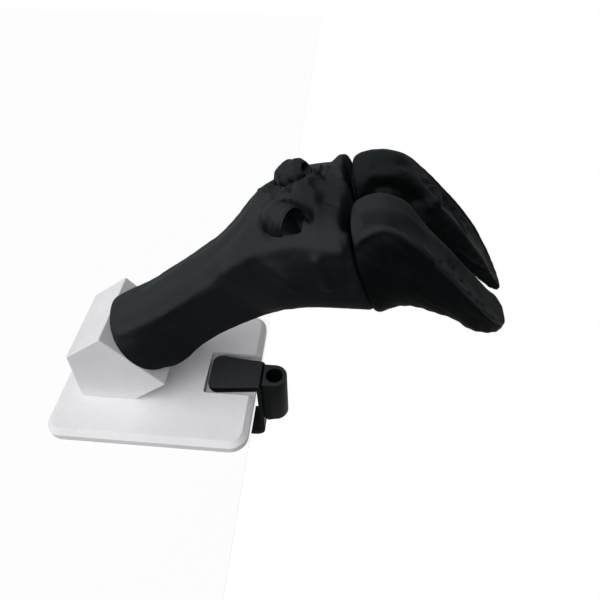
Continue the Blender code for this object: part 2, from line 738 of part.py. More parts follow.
def jaw_outline(inset=0.0):
    """Return the upper jaw's fan outline as (x, y) points, wide at its inner end."""
    radius = JAW_INNER_CORNER
    half = JAW_INNER_WIDTH / 2 - inset
    centre_x = JAW_INNER_X + inset + radius
    upper = arc((centre_x, half - radius), radius, 90.0, 180.0, 5)
    lower = arc((centre_x, -half + radius), radius, 180.0, 270.0, 5)
    root_x = SPINE_INNER_X + 1.0 - 4 * inset
    root = JAW_ROOT_WIDTH / 2 - inset
    return [(root_x, root)] + upper + lower + [(root_x, -root)]


def spine_outline():
    """Return the spine and lower arm's side outline as (x, z) points."""
    outer = SPINE_INNER_X + SPINE_THICKNESS
    arm_top = ARM_BOTTOM + ARM_THICKNESS
    outside = arc((outer - ARM_BEND, ARM_BOTTOM + ARM_BEND), ARM_BEND, -90.0, 0.0, 6)
    inner_bend = ARM_BEND - SPINE_THICKNESS
    centre = (SPINE_INNER_X - inner_bend, arm_top + inner_bend)
    inside = arc(centre, inner_bend, 0.0, -90.0, 6)
    return [(ARM_INNER_X, ARM_BOTTOM)] + outside + [(outer, JAW_TOP), (SPINE_INNER_X, JAW_TOP)] + inside + [
        (ARM_INNER_X, arm_top)
    ]


def socket_screw_frame(y):
    """Return the frame of a socket screw, head in the spine's inner face and shank along +X."""
    return axis_frame((SPINE_INNER_X + GAP, y, SOCKET_SCREW_Z), (1.0, 0.0, 0.0))


def build_clamp_frame():
    """Build the clamp's upper jaw, spine, lower arm and screw boss as one casting."""
    half = JAW_ROOT_WIDTH / 2
    frame = extruded("clamp_frame", spine_outline(), -half, half, "black_satin")
    frame.data.transform(Matrix.Rotation(math.pi / 2, 4, "X"))
    join(frame, extruded("upper_jaw", jaw_outline(), JAW_TOP - JAW_THICKNESS, JAW_TOP))
    boss = bmesh.new()
    boss_low = ARM_BOTTOM + ARM_THICKNESS / 2 - BOSS_LENGTH / 2
    boss_high = boss_low + BOSS_LENGTH
    add_rod(boss, BOSS_RADIUS, boss_low, boss_high, centre=(SCREW_X, 0.0))
    join(frame, add_object("screw_boss", mesh_from(boss, "screw_boss")))
    bore = bmesh.new()
    add_rod(bore, SCREW_RADIUS + GAP, boss_low - 1.0, boss_high + 1.0, centre=(SCREW_X, 0.0))
    cut(frame, add_object("screw_bore_cutter", mesh_from(bore, "screw_bore_cutter")))
    for y in SOCKET_SCREW_Y:
        sink = bmesh.new()
        head = SOCKET_SCREW_HEAD_RADIUS + 2 * GAP
        shank = SOCKET_SCREW_RADIUS + GAP
        depth = SOCKET_SCREW_HEAD_HEIGHT + GAP
        add_rod(sink, head, -2 * GAP, depth, end_radius=shank, sides=16)
        sink_cutter = add_object("socket_sink_cutter", mesh_from(sink, "socket_sink_cutter"))
        place(sink_cutter, socket_screw_frame(y))
        cut(frame, sink_cutter)
        hole = bmesh.new()
        add_rod(hole, shank, depth - GAP, SPINE_THICKNESS + 2.0, sides=16)
        hole_cutter = add_object("socket_hole_cutter", mesh_from(hole, "socket_hole_cutter"))
        place(hole_cutter, socket_screw_frame(y))
        cut(frame, hole_cutter)
    return frame


def build_clamp_socket():
    """Build the D-shaped lamp socket with its blind bore."""
    back = SPINE_INNER_X + SPINE_THICKNESS + GAP
    outline = arc((SOCKET_X, 0.0), SOCKET_RADIUS, -90.0, 90.0, 14)
    outline += [(back, SOCKET_RADIUS), (back, -SOCKET_RADIUS)]
    socket = extruded("clamp_socket", outline, SOCKET_BOTTOM, JAW_TOP, "black_satin")
    shape = bmesh.new()
    shape.from_mesh(socket.data)
    low = [e for e in shape.edges if all(v.co.z < (SOCKET_BOTTOM + 1.0) * MM for v in e.verts)]
    rim = [e for e in low if len({round(f.normal.z) for f in e.link_faces}) > 1]
    curved = [e for e in rim if max(v.co.x for v in e.verts) > (back + 1.0) * MM]
    bmesh.ops.bevel(shape, geom=curved, offset=SOCKET_EDGE * MM, segments=2, profile=0.5, affect="EDGES")
    bmesh.ops.recalc_face_normals(shape, faces=shape.faces)
    shape.to_mesh(socket.data)
    shape.free()
    bore = bmesh.new()
    add_rod(bore, SOCKET_BORE_RADIUS, JAW_TOP - SOCKET_BORE_DEPTH, JAW_TOP + 5.0, centre=(SOCKET_X, 0.0))
    cut(socket, add_object("socket_bore_cutter", mesh_from(bore, "socket_bore_cutter")))
    for y in SOCKET_SCREW_Y:
        hole = bmesh.new()
        add_rod(hole, SOCKET_SCREW_RADIUS + GAP, 0.0, SOCKET_SCREW_LENGTH + 1.0, sides=16)
        hole_cutter = add_object("socket_pilot_cutter", mesh_from(hole, "socket_pilot_cutter"))
        place(hole_cutter, socket_screw_frame(y))
        cut(socket, hole_cutter)
    shade_round(socket)
    return socket


def build_socket_screws():
    """Build the two screws that hold the socket to the spine."""
    shape = bmesh.new()
    countersunk_screw(
        shape,
        SOCKET_SCREW_RADIUS,
        SOCKET_SCREW_HEAD_RADIUS,
        SOCKET_SCREW_HEAD_HEIGHT,
        SOCKET_SCREW_LENGTH,
        sides=12,
    )
    mesh = mesh_from(shape, "socket_screw")
    screws = []
    for number, y in enumerate(SOCKET_SCREW_Y, start=1):
        screw = add_object(f"socket_screw_{number}", mesh.copy(), "zinc_steel")
        shade_round(screw)
        place(screw, socket_screw_frame(y))
        screws.append(screw)
    return screws


def build_jaw_pad():
    """Build the thin pad under the upper jaw."""
    top = JAW_TOP - JAW_THICKNESS - GAP
    return extruded("jaw_pad", jaw_outline(0.4), top - JAW_PAD_THICKNESS, top, "black_rubber")


def swivel_top():
    """Return the height of the swivel pad's top, below its facing."""
    return -BENCH_THICKNESS - FACING_THICKNESS - GAP


def build_pad_facing():
    """Build the rubber facing that presses on the bench."""
    disc = bmesh.new()
    low = -BENCH_THICKNESS - FACING_THICKNESS
    add_rod(disc, FACING_RADIUS, low, -BENCH_THICKNESS)
    facing = add_object("pad_facing", mesh_from(disc, "pad_facing"), "black_rubber")
    shade_round(facing)
    place(facing, Matrix.Translation((SCREW_X, 0.0, 0.0)))
    return facing


def build_swivel_pad():
    """Build the cup that the screw's tip turns in."""
    top = swivel_top()
    low = top - SWIVEL_THICKNESS
    hole = SCREW_TIP_RADIUS + GAP
    neck = SWIVEL_RADIUS / 2
    profile = [
        (0.0, top),
        (SWIVEL_RADIUS, top),
        (SWIVEL_RADIUS, top - SWIVEL_THICKNESS / 3),
        (neck, low),
        (hole, low),
        (hole, low + SCREW_TIP_LENGTH),
        (0.0, low + SCREW_TIP_LENGTH),
    ]
    pad = baked(turned("swivel_pad", profile, "black_satin"))
    shade_round(pad)
    place(pad, Matrix.Translation((SCREW_X, 0.0, 0.0)))
    return pad


def screw_shoulder():
    """Return the height of the clamp screw's shoulder, just under the swivel pad."""
    return swivel_top() - SWIVEL_THICKNESS - GAP


def build_clamp_screw():
    """Build the clamp screw with its tip in the swivel pad."""
    shoulder = screw_shoulder()
    tip = shoulder + SCREW_TIP_LENGTH - GAP
    profile = [
        (0.0, tip),
        (SCREW_TIP_RADIUS, tip),
        (SCREW_TIP_RADIUS, shoulder),
        (SCREW_RADIUS, shoulder),
        (SCREW_RADIUS, shoulder - SCREW_LENGTH),
        (0.0, shoulder - SCREW_LENGTH),
    ]
    screw = baked(turned("clamp_screw", profile, "zinc_steel"))
    shade_round(screw)
    place(screw, Matrix.Translation((SCREW_X, 0.0, 0.0)))
    return screw


def build_clamp_knob():
    """Build the fluted knob on the screw's lower end."""
    low = screw_shoulder() - SCREW_LENGTH - 2.0
    body = bmesh.new()
    add_rod(body, KNOB_RADIUS, low, low + KNOB_HEIGHT, sides=32)
    knob = add_object("clamp_knob", mesh_from(body, "clamp_knob"), "black_satin")
    round_edges(knob, 1.5, 2, 60.0)
    flutes = bmesh.new()
    for index in range(KNOB_FLUTES):
        angle = 2 * math.pi * index / KNOB_FLUTES
        centre = (KNOB_FLUTE_CENTRE * math.cos(angle), KNOB_FLUTE_CENTRE * math.sin(angle))
        add_rod(flutes, KNOB_FLUTE_RADIUS, low - 2.0, low + KNOB_HEIGHT + 2.0, sides=12, centre=centre)
    flute_cutter = add_object("flute_cutter", mesh_from(flutes, "flute_cutter"))
    bore = bmesh.new()
    add_rod(bore, SCREW_RADIUS + GAP, low + 2.0 - GAP, low + KNOB_HEIGHT + 2.0)
    bore_cutter = add_object("knob_bore_cutter", mesh_from(bore, "knob_bore_cutter"))
    for thing in (knob, flute_cutter, bore_cutter):
        place(thing, Matrix.Translation((SCREW_X, 0.0, 0.0)))
    cut(knob, flute_cutter)
    cut(knob, bore_cutter)
    shade_round(knob)
    return knob


def build_stand():
    """Build the fixed stand."""
    build_base_plate()
    build_facet_block()
    build_block_screws()
    build_leg_bolt()
    build_leg_washer()


def build_leg_assembly():
    """Build the leg on its turning axis, and the claws that pull off it."""
    leg_turn = joint_empty("leg_turn_axis", leg_axis_frame())
    carry(build_leg(), leg_turn)
    carry(build_leg_insert(), leg_turn)
    for label, side in (("front", -1), ("back", 1)):
        carry(build_dewclaw("dewclaw_" + label, side), leg_turn)
        carry(build_claw_peg("claw_peg_" + label, side), leg_turn)
        claw_pull = joint_empty("claw_pull_axis_" + label, claw_joint_frame(side))
        carry(claw_pull, leg_turn)
        carry(build_claw("claw_" + label, side), claw_pull)
        carry(build_claw_screw("claw_screw_" + label, side), claw_pull)


def build_clamp():
    """Build the bench clamp, its screw and its pad."""
    slide = joint_empty("clamp_slide_axis", axis_frame((SPINE_INNER_X, 0.0, JAW_TOP), (1.0, 0.0, 0.0)))
    for piece in (build_clamp_frame(), build_clamp_socket(), *build_socket_screws(), build_jaw_pad()):
        carry(piece, slide)
    screw_axis = joint_empty("clamp_screw_axis", Matrix.Translation((SCREW_X, 0.0, -BENCH_THICKNESS)))
    carry(screw_axis, slide)
    for piece in (build_pad_facing(), build_swivel_pad(), build_clamp_screw(), build_clamp_knob()):
        carry(piece, screw_axis)


clear_scene()
build_stand()
build_leg_assembly()
build_clamp()
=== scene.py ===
"""Looks of a hoof-trimming practice leg on a bench stand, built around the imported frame.

All sizes are in millimetres in the frame of the part: X runs along the plate's front edge towards the toes,
Y runs away from the camera, Z is up, and the origin is the middle of the plate's underside.
"""

import logging
import math
from dataclasses import dataclass, replace
from enum import Enum
from functools import cache
from typing import Optional, Sequence

import bmesh
import bpy
import numpy as np
from mathutils import Matrix, Vector


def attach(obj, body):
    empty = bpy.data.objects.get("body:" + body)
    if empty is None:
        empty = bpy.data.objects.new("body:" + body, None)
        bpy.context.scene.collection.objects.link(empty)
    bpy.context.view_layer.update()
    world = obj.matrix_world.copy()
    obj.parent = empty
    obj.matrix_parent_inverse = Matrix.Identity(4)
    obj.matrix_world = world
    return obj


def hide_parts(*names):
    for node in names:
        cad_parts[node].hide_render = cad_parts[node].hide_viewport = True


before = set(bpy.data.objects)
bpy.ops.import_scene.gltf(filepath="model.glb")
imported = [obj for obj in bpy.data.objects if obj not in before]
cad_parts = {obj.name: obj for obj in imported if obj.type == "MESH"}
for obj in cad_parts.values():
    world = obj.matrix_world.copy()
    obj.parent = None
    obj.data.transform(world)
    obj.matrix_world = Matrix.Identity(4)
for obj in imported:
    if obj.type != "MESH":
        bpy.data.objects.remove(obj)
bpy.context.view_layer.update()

LOG = logging.getLogger("practice_leg")
Array = np.ndarray
Span = tuple[float, float]
Point = tuple[float, float, float]
Line = tuple[Point, ...]
Colour = tuple[float, float, float, float]
Sections = tuple[tuple[float, ...], ...]
Tree = bpy.types.NodeTree
Socket = bpy.types.NodeSocket
Piece = bpy.types.Object

MM = 0.001


class Slot(Enum):
    """The record's material slots."""

    WHITE = "white_plastic"
    PRINT = "black_print"
    SATIN = "black_satin"
    RUBBER = "black_rubber"
    STEEL = "zinc_steel"
    BRASS = "brass"


class Side(Enum):
    """The two claws: the front one is nearer the camera, on the -Y side."""

    FRONT = -1
    BACK = 1

    @property
    def label(self) -> str:
        """Return the side's word in the node names."""
        return self.name.lower()


# Shared shader groups

MOTTLE_FINENESS = 9.0
MARK_FINENESS = 22.0
MARK_STRETCH = (0.08, 1.0, 1.0)
MARK_TURN = (0.2, 0.5, 0.7)
DUST_FINENESS = 6.0
# Direction of the faces that get the dust and the painted light: up, and a little towards the key light.
DUST_AND_LIGHT_FACING = (-0.33, -0.18, 0.926)
# Inner and outer edge of the zone of painted shade, as shares of its reach.
SHADE_ZONE_EDGE = (0.5, 1.1)


def feed(tree: Tree, socket: Socket, value: object) -> None:
    """Link a socket to another socket, or set it to a value.

    Args:
        tree: Node tree of the socket.
        socket: Input socket.
        value: Output socket, or a value.
    """
    if isinstance(value, Socket):
        tree.links.new(value, socket)
    else:
        socket.default_value = value


def new_group(name: str, inputs: dict[str, float], outputs: Sequence[str]) -> Tree:
    """Make an empty shader group with a Vector input.

    Args:
        name: Name of the group.
        inputs: Extra number inputs and their values.
        outputs: Names of the number outputs.

    Returns:
        The group's node tree with its input and output nodes in place.
    """
    group = bpy.data.node_groups.new(name, "ShaderNodeTree")
    group.interface.new_socket("Vector", in_out="INPUT", socket_type="NodeSocketVector")
    for label, value in inputs.items():
        socket = group.interface.new_socket(label, in_out="INPUT", socket_type="NodeSocketFloat")
        socket.default_value = value
    for label in outputs:
        group.interface.new_socket(label, in_out="OUTPUT", socket_type="NodeSocketFloat")
    group.nodes.new("NodeGroupInput").name = "In"
    group.nodes.new("NodeGroupOutput").name = "Out"
    return group


def add_math(tree: Tree, operation: str, first: object, second: object, clamp: bool = False) -> Socket:
    """Add a math node.

    Args:
        tree: Node tree to add to.
        operation: Blender's name of the operation.
        first: Socket or number.
        second: Socket or number.
        clamp: Whether the result is kept between 0 and 1.

    Returns:
        The result socket.
    """
    node = tree.nodes.new("ShaderNodeMath")
    node.operation = operation
    node.use_clamp = clamp
    for socket, value in zip(node.inputs, (first, second)):
        feed(tree, socket, value)
    return node.outputs[0]


def add_noise(tree: Tree, vector: Socket, scale: object, detail: float) -> Socket:
    """Add a noise texture.

    Args:
        tree: Node tree to add to.
        vector: Coordinate socket.
        scale: Socket or number of the noise scale.
        detail: Number of octaves.

    Returns:
        The noise value socket.
    """
    noise = tree.nodes.new("ShaderNodeTexNoise")
    for label, value in (("Vector", vector), ("Scale", scale), ("Detail", detail)):
        feed(tree, noise.inputs[label], value)
    return noise.outputs["Fac"]


def add_range(tree: Tree, value: Socket, low: object, high: float) -> Socket:
    """Stretch a value between two limits to 0 and 1 with soft ends.

    Args:
        tree: Node tree to add to.
        value: Value socket.
        low: Socket or number of the value that becomes 0.
        high: Value that becomes 1.

    Returns:
        The stretched value socket.
    """
    node = tree.nodes.new("ShaderNodeMapRange")
    node.interpolation_type = "SMOOTHSTEP"
    for label, given in (("Value", value), ("From Min", low), ("From Max", high)):
        feed(tree, node.inputs[label], given)
    return node.outputs["Result"]


@cache
def mottle_group() -> Tree:
    """Make the group for soft blotches: a coarse and a fine noise, mixed 2 to 1.

    Returns:
        The group's node tree, made once.
    """
    group = new_group("mottle", {"Scale": 60.0}, ("Mask", "Height"))
    enter, leave = group.nodes["In"].outputs, group.nodes["Out"].inputs
    coarse = add_noise(group, enter["Vector"], enter["Scale"], 3.0)
    fine_scale = add_math(group, "MULTIPLY", enter["Scale"], MOTTLE_FINENESS)
    fine = add_noise(group, enter["Vector"], fine_scale, 2.0)
    shares = [add_math(group, "MULTIPLY", noise, share) for noise, share in ((coarse, 0.67), (fine, 0.33))]
    total = add_math(group, "ADD", *shares)
    group.links.new(add_range(group, total, 0.32, 0.68), leave["Mask"])
    group.links.new(fine, leave["Height"])
    return group


@cache
def scratch_group() -> Tree:
    """Make the group for fine handling marks: a noise drawn out along one direction, cut to its crests.

    Returns:
        The group's node tree, made once.
    """
    group = new_group("handling_marks", {"Scale": 40.0}, ("Mask",))
    enter, leave = group.nodes["In"].outputs, group.nodes["Out"].inputs
    stretch = group.nodes.new("ShaderNodeMapping")
    stretch.inputs["Scale"].default_value = MARK_STRETCH
    stretch.inputs["Rotation"].default_value = MARK_TURN
    group.links.new(enter["Vector"], stretch.inputs["Vector"])
    fine_scale = add_math(group, "MULTIPLY", enter["Scale"], MARK_FINENESS)
    crest = add_range(group, add_noise(group, stretch.outputs["Vector"], fine_scale, 2.0), 0.62, 0.72)
    patch = add_range(group, add_noise(group, enter["Vector"], enter["Scale"], 1.0), 0.45, 0.7)
    group.links.new(add_math(group, "MULTIPLY", crest, patch), leave["Mask"])
    return group


@cache
def dust_and_light_group() -> Tree:
    """Make the group for dust and painted light on the faces that look up, and a little towards the foot and
    the camera.

    Its mask is a noise of dust grains, or an even film where the cover is higher; the film is painted light,
    a lighter tone on the faces turned towards the key light. It grows with the share of the facing direction
    in the face's normal, from nothing at the start.

    Returns:
        The group's node tree, made once.
    """
    group = new_group("dust_and_painted_light", {"Scale": 300.0, "Cover": 0.0, "Start": 0.15}, ("Mask",))
    enter, leave = group.nodes["In"].outputs, group.nodes["Out"].inputs
    facing = group.nodes.new("ShaderNodeTexCoord")
    share = group.nodes.new("ShaderNodeVectorMath")
    share.operation = "DOT_PRODUCT"
    share.inputs[1].default_value = DUST_AND_LIGHT_FACING
    group.links.new(facing.outputs["Normal"], share.inputs[0])
    upward = add_range(group, share.outputs["Value"], enter["Start"], 1.0)
    grains = add_range(group, add_noise(group, enter["Vector"], enter["Scale"], 4.0), 0.5, 0.75)
    covered = add_math(group, "MAXIMUM", grains, enter["Cover"])
    group.links.new(add_math(group, "MULTIPLY", upward, covered), leave["Mask"])
    return group


# Finishes


@dataclass(frozen=True)
class Finish:
    """A procedural finish for one material slot.

    The colour goes from tint to shade by the mottle, and then to the dust and light colour by the mask of
    dust and painted light, a lighter tone on the faces turned towards the key light, which is less in a
    zone of painted shade. The roughness changes with the mottle and the handling marks, and the bump
    comes from the fine mottle. The label is the material's name where it isn't the slot's.
    """

    slot: Slot
    tint: Colour
    shade: Colour
    dust_and_light: Colour
    roughness: float
    roughness_spread: float
    specular: float
    metallic: float = 0.0
    mottle_scale: float = 60.0
    grain_height: float = 0.00003
    dust_and_light_amount: float = 0.2
    lit_film_cover: float = 0.0
    dust_and_light_start: float = 0.15
    marks: float = 0.1
    shade_zone_depth: float = 0.0
    shade_zone_centre: Point = (0.0, 0.0, 0.0)
    shade_zone_reach: float = 22.0
    label: str = ""

    def material(self) -> bpy.types.Material:
        """Make the finish's material.

        Returns:
            The material, made once.
        """
        name = self.label or self.slot.value
        if name in bpy.data.materials and bpy.data.materials[name].get("finished"):
            return bpy.data.materials[name]
        material = bpy.data.materials.new(name)
        material.name = name
        material["finished"] = True
        material.use_nodes = True
        material.diffuse_color = self.tint
        self.wire(material.node_tree)
        return material

    def wire(self, tree: Tree) -> None:
        """Lay out the nodes.

        Args:
            tree: The material's node tree.
        """
        shader = tree.nodes["Principled BSDF"]
        place = tree.nodes.new("ShaderNodeTexCoord").outputs["Object"]
        scale = self.mottle_scale
        mottle = self.use_group(tree, mottle_group(), place, Scale=scale)
        marks = self.use_group(tree, scratch_group(), place, Scale=scale)
        dust_and_light = self.use_group(
            tree, dust_and_light_group(), place,
            Scale=scale * DUST_FINENESS, Cover=self.lit_film_cover, Start=self.dust_and_light_start,
        )
        body = self.mix(tree, mottle["Mask"], self.tint, self.shade)
        # Painted light: the dust and light colour on the faces turned towards the key light, less in the zone
        # of painted shade.
        dusty_and_lit = add_math(tree, "MULTIPLY", dust_and_light["Mask"], self.dust_and_light_amount)
        if self.shade_zone_depth > 0.0:
            dusty_and_lit = add_math(tree, "MULTIPLY", dusty_and_lit, self.rub(tree, place))
        spread = add_math(tree, "MULTIPLY", mottle["Mask"], self.roughness_spread)
        worn = add_math(tree, "MULTIPLY", marks["Mask"], self.marks)
        bump = tree.nodes.new("ShaderNodeBump")
        bump.inputs["Strength"].default_value = 1.0
        bump.inputs["Distance"].default_value = self.grain_height
        tree.links.new(mottle["Height"], bump.inputs["Height"])
        rough = add_math(tree, "ADD", add_math(tree, "ADD", spread, worn), self.roughness, clamp=True)
        tree.links.new(self.mix(tree, dusty_and_lit, body, self.dust_and_light), shader.inputs["Base Color"])
        tree.links.new(rough, shader.inputs["Roughness"])
        tree.links.new(bump.outputs["Normal"], shader.inputs["Normal"])
        shader.inputs["Metallic"].default_value = self.metallic
        shader.inputs["Specular IOR Level"].default_value = self.specular

    def rub(self, tree: Tree, place: Socket) -> Socket:
        """Return the share of the dust and painted light that is left in the zone of painted shade.

        Formula: 1 beyond 1.1 times the reach from the zone's centre, and less by the zone's shade share
        within half of the reach.

        Args:
            tree: The material's node tree.
            place: Coordinate socket.

        Returns:
            The share's socket.
        """
        away = tree.nodes.new("ShaderNodeVectorMath")
        away.operation = "DISTANCE"
        tree.links.new(place, away.inputs[0])
        away.inputs[1].default_value = [value * MM for value in self.shade_zone_centre]
        inner, outer = (share * self.shade_zone_reach * MM for share in SHADE_ZONE_EDGE)
        outside = add_range(tree, away.outputs["Value"], inner, outer)
        return add_math(tree, "ADD", add_math(tree, "MULTIPLY", outside, self.shade_zone_depth), 1.0 - self.shade_zone_depth)

    @staticmethod
    def use_group(tree: Tree, group: Tree, place: Socket, **values: float) -> bpy.types.bpy_prop_collection:
        """Place a shared group in a material.

        Args:
            tree: The material's node tree.
            group: The shared group.
            place: Coordinate socket.
            values: Values of the group's inputs.

        Returns:
            The group node's outputs.
        """
        node = tree.nodes.new("ShaderNodeGroup")
        node.node_tree = group
        for label, value in {"Vector": place, **values}.items():
            feed(tree, node.inputs[label], value)
        return node.outputs

    @staticmethod
    def mix(tree: Tree, factor: Socket, first: object, second: object) -> Socket:
        """Mix two colours by a mask.

        Args:
            tree: The material's node tree.
            factor: Mask socket.
            first: Colour or socket where the mask is 0.
            second: Colour or socket where the mask is 1.

        Returns:
            The colour socket.
        """
        node = tree.nodes.new("ShaderNodeMix")
        node.data_type = "RGBA"
        tree.links.new(factor, node.inputs["Factor"])
        for label, value in (("A", first), ("B", second)):
            feed(tree, next(s for s in node.inputs if s.name == label and s.type == "RGBA"), value)
        return next(s for s in node.outputs if s.type == "RGBA")


WHITE_PLASTIC = Finish(
    Slot.WHITE, (0.82, 0.82, 0.84, 1.0), (0.77, 0.77, 0.795, 1.0), (0.66, 0.64, 0.60, 1.0),
    roughness=0.42, roughness_spread=0.1, specular=0.35, mottle_scale=45.0, grain_height=0.00002,
    dust_and_light_amount=0.12,
)
# Painted light: the even film in the dust and light colour, about four times the tint, lightens the faces
# turned towards the key light.
BLACK_PRINT = Finish(
    Slot.PRINT, (0.0070, 0.0083, 0.0090, 1.0), (0.0095, 0.0110, 0.0118, 1.0), (0.034, 0.0395, 0.0425, 1.0),
    roughness=0.5, roughness_spread=0.12, specular=0.01, mottle_scale=70.0, grain_height=0.00006,
    dust_and_light_amount=1.0, lit_film_cover=0.8, dust_and_light_start=0.4,
    # The zone on the pastern is painted shade: it takes off part of the lighter film.
    shade_zone_depth=0.5, shade_zone_centre=(125.0, -8.0, 189.0), shade_zone_reach=24.0,
)
# Painted shade: darker copies of the black print for the claws and the far dewclaw, the one for the far claw
# with less of the lighter film.
SHADED_CLAW = replace(
    BLACK_PRINT, tint=(0.0022, 0.0027, 0.0030, 1.0), shade=(0.0034, 0.0041, 0.0044, 1.0), dust_and_light_start=0.15,
    dust_and_light_amount=0.9, shade_zone_depth=0.0, label="black_print_shaded_claw",
)
FAR_SHADED_CLAW = replace(SHADED_CLAW, dust_and_light_amount=0.45, label="black_print_far_shaded_claw")
# Painted light: the even film in the dust and light colour lightens the clamp's faces turned towards the key
# light.
BLACK_SATIN = Finish(
    Slot.SATIN, (0.0034, 0.0041, 0.0045, 1.0), (0.0055, 0.0064, 0.0069, 1.0), (0.064, 0.069, 0.073, 1.0),
    roughness=0.38, roughness_spread=0.1, specular=0.015, mottle_scale=90.0, grain_height=0.00004,
    dust_and_light_amount=0.9, lit_film_cover=0.6, dust_and_light_start=0.4,
)
BLACK_RUBBER = Finish(
    Slot.RUBBER, (0.016, 0.016, 0.017, 1.0), (0.024, 0.024, 0.025, 1.0), (0.11, 0.11, 0.10, 1.0),
    roughness=0.75, roughness_spread=0.1, specular=0.12, mottle_scale=120.0, grain_height=0.00008,
)
PLATED_STEEL = Finish(
    Slot.STEEL, (0.62, 0.63, 0.64, 1.0), (0.50, 0.51, 0.53, 1.0), (0.35, 0.34, 0.32, 1.0),
    roughness=0.28, roughness_spread=0.15, specular=0.5, metallic=1.0, mottle_scale=150.0,
    grain_height=0.00001,
)
BRASS_METAL = Finish(
    Slot.BRASS, (0.72, 0.54, 0.25, 1.0), (0.58, 0.42, 0.18, 1.0), (0.30, 0.25, 0.18, 1.0),
    roughness=0.3, roughness_spread=0.15, specular=0.5, metallic=1.0, mottle_scale=150.0,
    grain_height=0.00001,
)


# Surfaces

WELD = 2e-6
CAD_WELD = 1e-6
SLIVER = 1e-7
FLAT_ANGLE = 0.6
EDGE_ANGLE = 32.0
EDGE_STEPS = 3
BEND_STEPS = 8
BEND_SEARCH = 0.05
RIPPLE_WAVES = 8
THREAD_STEPS = 8


def circle(points: int) -> Array:
    """Return a row of evenly spaced angles round a full turn."""
    return np.linspace(0.0, 2 * math.pi, points, endpoint=False)[None, :]


def flowing_rows(rows: Sequence[Sequence[float]], place: Array) -> Array:
    """Sample the Catmull-Rom curve through table rows.

    Formula: in a span from b to c, with a before and d after, the value at t is half of
    2b + (c - a)t + (2a - 5b + 4c - d)t^2 + (3b - a - 3c + d)t^3.

    Args:
        rows: Table, one row for each knot.
        place: Places along the rows, from 0 to the number of rows less 1.

    Returns:
        One sampled row for each place.
    """
    table = np.asarray(rows, float)
    padded = np.vstack([2 * table[0] - table[1], table, 2 * table[-1] - table[-2]])
    span = np.minimum(place.astype(int), len(table) - 2)
    t = (place - span)[:, None]
    a, b, c, d = (padded[span + step] for step in range(4))
    return 0.5 * (2 * b + (c - a) * t + (2 * a - 5 * b + 4 * c - d) * t**2 + (3 * b - a - 3 * c + d) * t**3)


def section_directions(points: int, powers: Array) -> tuple[Array, Array]:
    """Return the across and upward parts of super-ellipse rings.

    Formula: at angle f the radius is (|cos f|^p + |sin f|^p)^(-1/p), with one power p for the palmar half's
    inner quarter, one for its outer quarter and one for the dorsal half.

    Args:
        points: Points in a ring.
        powers: The three powers in that order, one row for each ring.

    Returns:
        Across and upward arrays, rings by points, within -1 to 1.
    """
    angle = circle(points)
    palmar = np.where(np.cos(angle) > 0.0, powers[:, 1:2], powers[:, 0:1])
    power = np.where(np.sin(angle) >= 0.0, palmar, powers[:, 2:3])
    radius = (np.abs(np.cos(angle)) ** power + np.abs(np.sin(angle)) ** power) ** (-1.0 / power)
    return radius * np.cos(angle), radius * np.sin(angle)


def ring_normals(grid: Array) -> Array:
    """Return unit normals of a grid of rings: the slope around crossed with the slope along.

    Args:
        grid: Rings by points by 3.

    Returns:
        Unit vectors in the same layout.
    """
    along = np.gradient(grid, axis=0)
    around = np.roll(grid, -1, axis=1) - np.roll(grid, 1, axis=1)
    normal = np.cross(around, along)
    return normal / np.maximum(np.linalg.norm(normal, axis=2, keepdims=True), 1e-9)


def bell(value: Array, width: float) -> Array:
    """Return exp(-(value / width)^2)."""
    return np.exp(-((value / width) ** 2))


def soft_step(value: Array, low: float, high: float) -> Array:
    """Return 0 below low and 1 above high, with the cubic 3t^2 - 2t^3 between them."""
    t = np.clip((value - low) / (high - low), 0.0, 1.0)
    return t * t * (3.0 - 2.0 * t)


def plateau(value: Array, rise: Span, fall: Span) -> Array:
    """Return the soft step up over the first span times the soft step down over the second."""
    return soft_step(value, *rise) * (1.0 - soft_step(value, *fall))


def ripple(at: Array, wavelength: float, seed: int) -> Array:
    """Return a gentle unevenness: twice the mean of sine waves in seeded directions.

    Args:
        at: Points, any layout by 3.
        wavelength: Middle wavelength of the waves.
        seed: Seed of the directions and phases.

    Returns:
        Values of about -1 to 1 in the layout of the points.
    """
    draw = np.random.default_rng(seed)
    waves = draw.normal(size=(RIPPLE_WAVES, 3))
    length = np.linalg.norm(waves, axis=1, keepdims=True)
    waves *= (2 * math.pi / wavelength) * draw.uniform(0.6, 1.5, (RIPPLE_WAVES, 1)) / length
    phases = draw.uniform(0.0, 2 * math.pi, RIPPLE_WAVES)
    return np.sin(at @ waves.T + phases).mean(axis=-1) * 2.0


@dataclass(frozen=True)
class Stroke:
    """A ridge, or a groove with a negative height, along a line of points on a surface.

    Formula: height times exp(-(d / width)^2), where d is the distance to the nearest span of the line.
    """

    line: Line
    width: float
    height: float

    def lift(self, at: Array, side: int = 1) -> Array:
        """Return the stroke's height at points.

        Args:
            at: Points, any layout by 3.
            side: 1 for the stroke as it is, -1 for its mirror image in Y.

        Returns:
            Heights in the layout of the points.
        """
        knots = np.array(self.line, float) * (1.0, side, 1.0)
        starts, ends = (knots[:-1], knots[1:]) if len(knots) > 1 else (knots, knots)
        nearest = np.full(at.shape[:-1], np.inf)
        for start, end in zip(starts, ends):
            run = end - start
            t = np.clip((at - start) @ run / max(float(run @ run), 1e-9), 0.0, 1.0)
            nearest = np.minimum(nearest, np.linalg.norm(at - start - t[..., None] * run, axis=-1))
        return self.height * bell(nearest, self.width)


